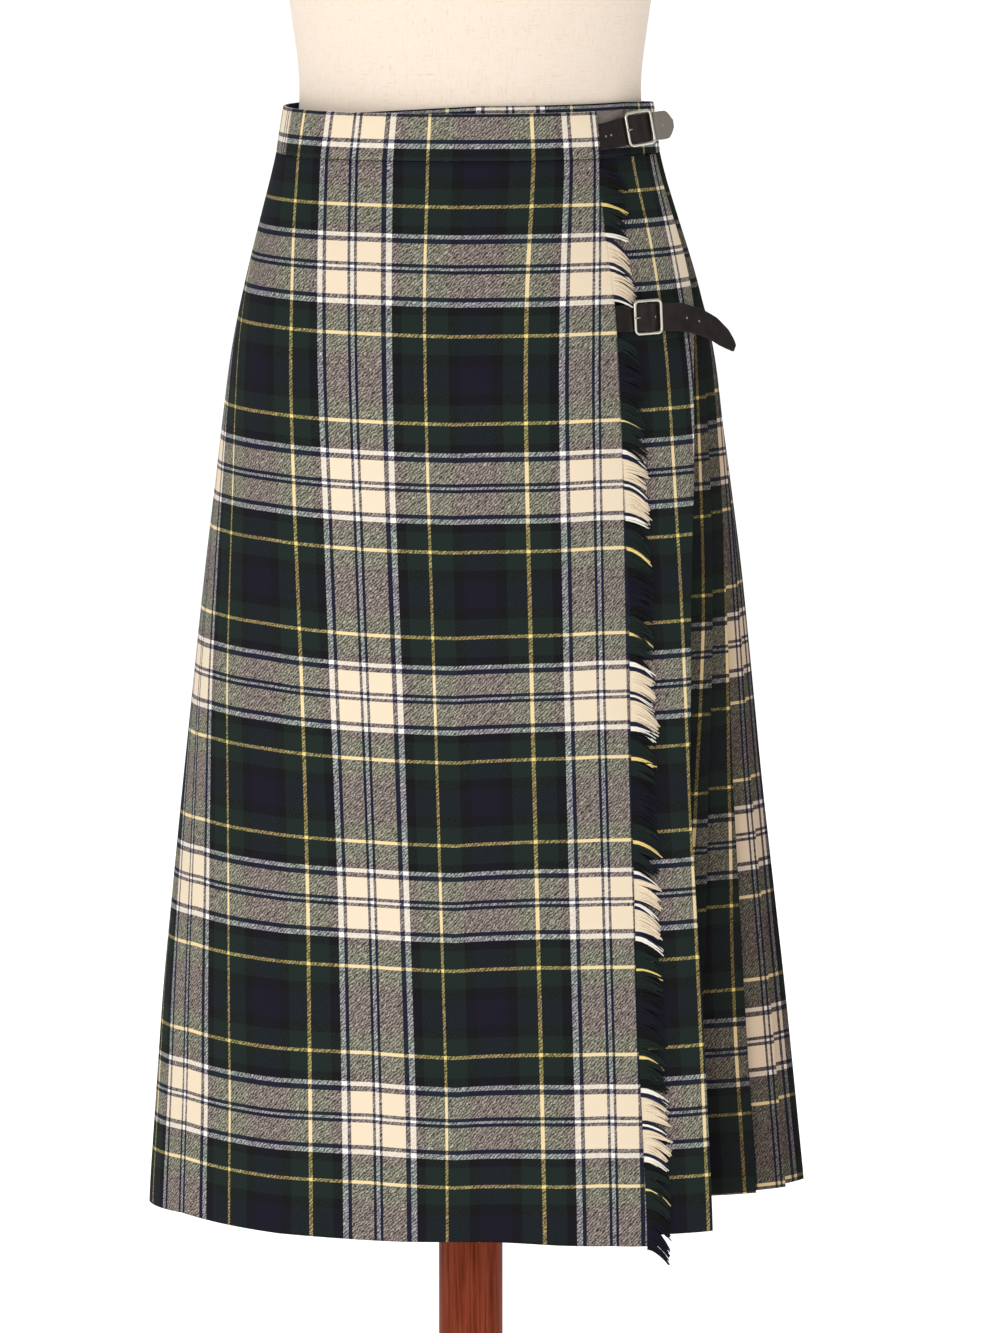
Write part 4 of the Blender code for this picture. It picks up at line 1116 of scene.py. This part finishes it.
# Name, line, table, where its buckle sits, hole places, how upright it stands there, leather
waist_line = StrapLine(WAIST_LEVEL, BAND_WALL + 1.5 * SLACK + LEATHER / 2)
hip_line = StrapLine(HIP_LEVEL, CLOTH_WALL + 1.5 * SLACK + LEATHER / 2)
STRAPS = (
    ("waist", waist_line, WAIST_STRAP, WAIST_BUCKLE_AT, (9.0, 13.5, 58.0),
     WAIST_UPRIGHT, leather_with_painted_sheen),
    ("hip", hip_line, HIP_STRAP, HIP_BUCKLE_AT, (33.5, 60.0, 70.5), HIP_UPRIGHT, leather),
)
for label, line, table, middle, holes, upright, hide in STRAPS:
    stations = strap_stations(line, table, middle, upright)
    strap = leather_strap(label + "_leather_strap", stations)
    fit(strap, hide, "bridle_leather", label + "_strap")
    punch(strap, stations, table, holes)


# Buckles
# Each is a frame of round nickel-plated wire with a bar across its middle, behind the strap.
# A wire prong turns on the bar, comes up through a hole and rests on the frame's left side.
WIRE_SIDES = 3
PRONG = 0.7
BAR = 0.8
CORNER = 3.0
CORNER_STEPS = 6
PRONG_AT = 0.7
# Name, line, how far along the strap it sits, its drop, its tilt in degrees, how upright
BUCKLES = (
    ("waist", waist_line, WAIST_BUCKLE_AT, -4.1, 6.0, WAIST_UPRIGHT),
    ("hip", hip_line, HIP_BUCKLE_AT, -0.2, 1.0, HIP_UPRIGHT),
)


def bent_wire(name, points, radius, closed):
    """Round wire bent through the points: edges turned to a curve, thickened and made a mesh."""
    mesh = bpy.data.meshes.new(name)
    edges = [(i, i + 1) for i in range(len(points) - 1)]
    if closed:
        edges.append((len(points) - 1, 0))
    mesh.from_pydata([point * MM for point in points], edges, [])
    made = bpy.data.objects.new(name, mesh)
    bpy.context.scene.collection.objects.link(made)
    only(made)
    bpy.ops.object.convert(target="CURVE")
    made.data.bevel_depth = radius * MM
    made.data.bevel_resolution = WIRE_SIDES
    made.data.use_fill_caps = True
    bpy.ops.object.convert(target="MESH")
    bpy.ops.object.shade_smooth_by_angle(angle=math.radians(50))
    return made


# Nickel plate over brass wire, brushed round it: bright, a little warm, softly blurred.
nickel = new_finish("brushed nickel plate", Base_Color=linear("#d9d3c6"), Metallic=1.0, Roughness=0.3)
nickel_place = add_node(nickel, "ShaderNodeTexCoord").outputs["Object"]
brushing = add_node(nickel, "ShaderNodeTexNoise", {
    "Vector": add_node(nickel, "ShaderNodeMapping", {
        "Vector": nickel_place, "Scale": (1 / (0.4 * MM), 1 / (0.4 * MM), 1 / (6 * MM))}).outputs[0],
    "Scale": 1.0, "Detail": 3.0})
brushed = add_node(nickel, "ShaderNodeMapRange", {
    "Value": brushing.outputs["Fac"], "To Min": 0.25, "To Max": 0.42})
shade(nickel, Roughness=brushed.outputs[0])

for label, line, middle, drop, tilt, upright in BUCKLES:
    centre = line.point(middle, 0.0, -drop)
    rise, outward = line.leaned(1.0 - upright)
    turned = math.radians(tilt)
    up = rise * math.cos(turned) - line.heading * math.sin(turned)
    side = line.heading * math.cos(turned) + rise * math.sin(turned)
    half_w, half_h = BUCKLE_WIDTH / 2, BUCKLE_HEIGHT / 2
    out = LEATHER / 2 + WIRE + SLACK - WEAVE
    bar_out = WEAVE - (LEATHER / 2 + 2 * SLACK + TAB_WALL + BAR)
    loop = []
    for right, top, first in ((1, 1, 0), (-1, 1, 90), (-1, -1, 180), (1, -1, 270)):
        for step in range(CORNER_STEPS + 1):
            angle = math.radians(first + step * 90 / CORNER_STEPS)
            across = right * (half_w - CORNER) + CORNER * math.cos(angle)
            above = top * (half_h - CORNER) + CORNER * math.sin(angle)
            loop.append(centre + side * across + up * above + outward * out)
    frame_wire = bent_wire(label + "_buckle_frame", loop, WIRE, True)
    ends = [up * half_h * sign for sign in (1, 0.96, -0.96, -1)]
    bar_points = [centre + ends[0] + outward * out, centre + ends[1] + outward * bar_out,
                  centre + ends[2] + outward * bar_out, centre + ends[3] + outward * out]
    bar = bent_wire(label + "_bar", bar_points, BAR, False)
    only(frame_wire)
    bar.select_set(True)
    bpy.ops.object.join()
    fit(frame_wire, nickel, "brushed_nickel", label + "_buckle")
    tip = centre - side * (half_w + WIRE * 0.6) + outward * (out + WIRE + SLACK + PRONG)
    rise_at = centre - side * (half_w * PRONG_AT) + outward * (LEATHER / 2 + 0.6)
    root = centre - side * (half_w * PRONG_AT - 1.2) + outward * 0.2
    prong = bent_wire(label + "_prong_wire", [root, rise_at, tip], PRONG, False)
    fit(prong, nickel, "brushed_nickel", label + "_prong")


# Tabs that hold the buckles
# A narrow tongue of thin leather goes round each buckle's middle bar and is sewn down on the
# cloth behind the strap, which hides it.
TAB_HEIGHT = 12.0
TAB_REACH = 15.0
for label, line, middle, drop, _, _ in BUCKLES:
    centre = line.point(middle, 0.0, -drop)
    bar = centre + line.outward * (WEAVE - (LEATHER / 2 + 2 * SLACK + TAB_WALL + BAR))
    ring = Ring(line.level)
    path = []
    for degrees in range(40, 271, 23):
        turn = math.radians(degrees)
        round_bar = line.heading * math.cos(turn) + line.outward * math.sin(turn)
        path.append((bar + round_bar * (BAR + SLACK + TAB_WALL / 2)).xy)
    for share in (0.45, 0.7, 1.0):
        along = ring.free + middle + TAB_REACH * share
        if label == "waist":
            lay = float(np.interp(
                np.interp(along, ring.length, ring.degrees),
                [row[0] for row in BAND_LAY], [row[1] for row in BAND_LAY]))
        else:
            lay = float(under_lay(ring, line.level, along))
        x, y = ring.points(along, lay - SLACK * 1.5 - TAB_WALL / 2)
        path.append(Vector((float(x), float(y))))
    places = np.zeros((2, len(path), 3))
    for row, height in enumerate((TAB_HEIGHT / 2, -TAB_HEIGHT / 2)):
        for count, spot in enumerate(path):
            places[row, count] = Vector((*spot, centre.z)) + line.up * height
    tab = grid_of(label + "_tab_leather", places * MM)
    wall = tab.modifiers.new("wall", "SOLIDIFY")
    wall.thickness = TAB_WALL * MM
    wall.offset = 0.0
    only(tab)
    bpy.ops.object.modifier_apply(modifier="wall")
    bpy.ops.object.shade_smooth_by_angle(angle=math.radians(50))
    fit(tab, leather, "bridle_leather", label + "_tab")


# Camera, floor and light
# The camera stands 5.6 m in front at 1.4 m, looking a little down. The floor is plain white.
# Soft light comes from the left front, less from the right and some from behind, and the sky
# is brighter at the left.
CAMERA_PLACE = Vector((0.0203, -5.6, 1.40))
CAMERA_AIM = Vector((0.0203, 0.0, 0.66515))
CAMERA_LENS = 217.906
camera_data = bpy.data.cameras.new("camera")
camera_data.sensor_fit = "VERTICAL"
camera_data.sensor_height = 36
camera_data.lens = CAMERA_LENS
camera_data.clip_end = 200
camera = bpy.data.objects.new("camera", camera_data)
camera.location = CAMERA_PLACE
camera.rotation_euler = (CAMERA_AIM - CAMERA_PLACE).to_track_quat("-Z", "Y").to_euler()
bpy.context.scene.collection.objects.link(camera)
bpy.context.scene.camera = camera

bpy.ops.object.select_all(action="DESELECT")
bpy.ops.mesh.primitive_plane_add(size=160)
floor = bpy.context.active_object
floor.name = "floor"
floor_paint = new_finish(
    "lit white floor", Base_Color=(1, 1, 1, 1), Roughness=1.0, Specular_IOR_Level=0.0,
    Emission_Color=(1, 1, 1, 1), Emission_Strength=0.5)
floor.data.materials.append(floor_paint)

world = bpy.data.worlds.new("studio")
bpy.context.scene.world = world
world.use_nodes = True
sky = world.node_tree.nodes["Background"]
sky.inputs["Color"].default_value = (1, 1, 1, 1)
SKY_LEFT, SKY_RIGHT = 0.72, 0.45
SKY_SPREAD = 0.9
sky_place = add_node(world, "ShaderNodeTexCoord").outputs["Generated"]
sky_across = add_node(world, "ShaderNodeSeparateXYZ", {0: sky_place}).outputs["X"]
sky_light = add_node(world, "ShaderNodeMapRange", {
    "Value": sky_across, "From Min": -SKY_SPREAD, "From Max": SKY_SPREAD,
    "To Min": SKY_LEFT, "To Max": SKY_RIGHT})
world.node_tree.links.new(sky_light.outputs[0], sky.inputs["Strength"])
# Place and size in metres, power in watts
LIGHTS = (
    ((-1.6, -4.3, 2.4), 1.6, 61),
    ((1.2, -4.6, 2.0), 1.8, 12),
    ((0.0, 3.5, 2.6), 2.5, 25),
)
for light_place, light_size, light_power in LIGHTS:
    bpy.ops.object.light_add(type="AREA", location=light_place)
    softbox = bpy.context.active_object
    softbox.data.size = light_size
    softbox.data.energy = light_power
    aim = Vector((0, 0, 0.75)) - Vector(light_place)
    softbox.rotation_euler = aim.to_track_quat("-Z", "Y").to_euler()
bpy.context.scene.view_settings.view_transform = "Standard"
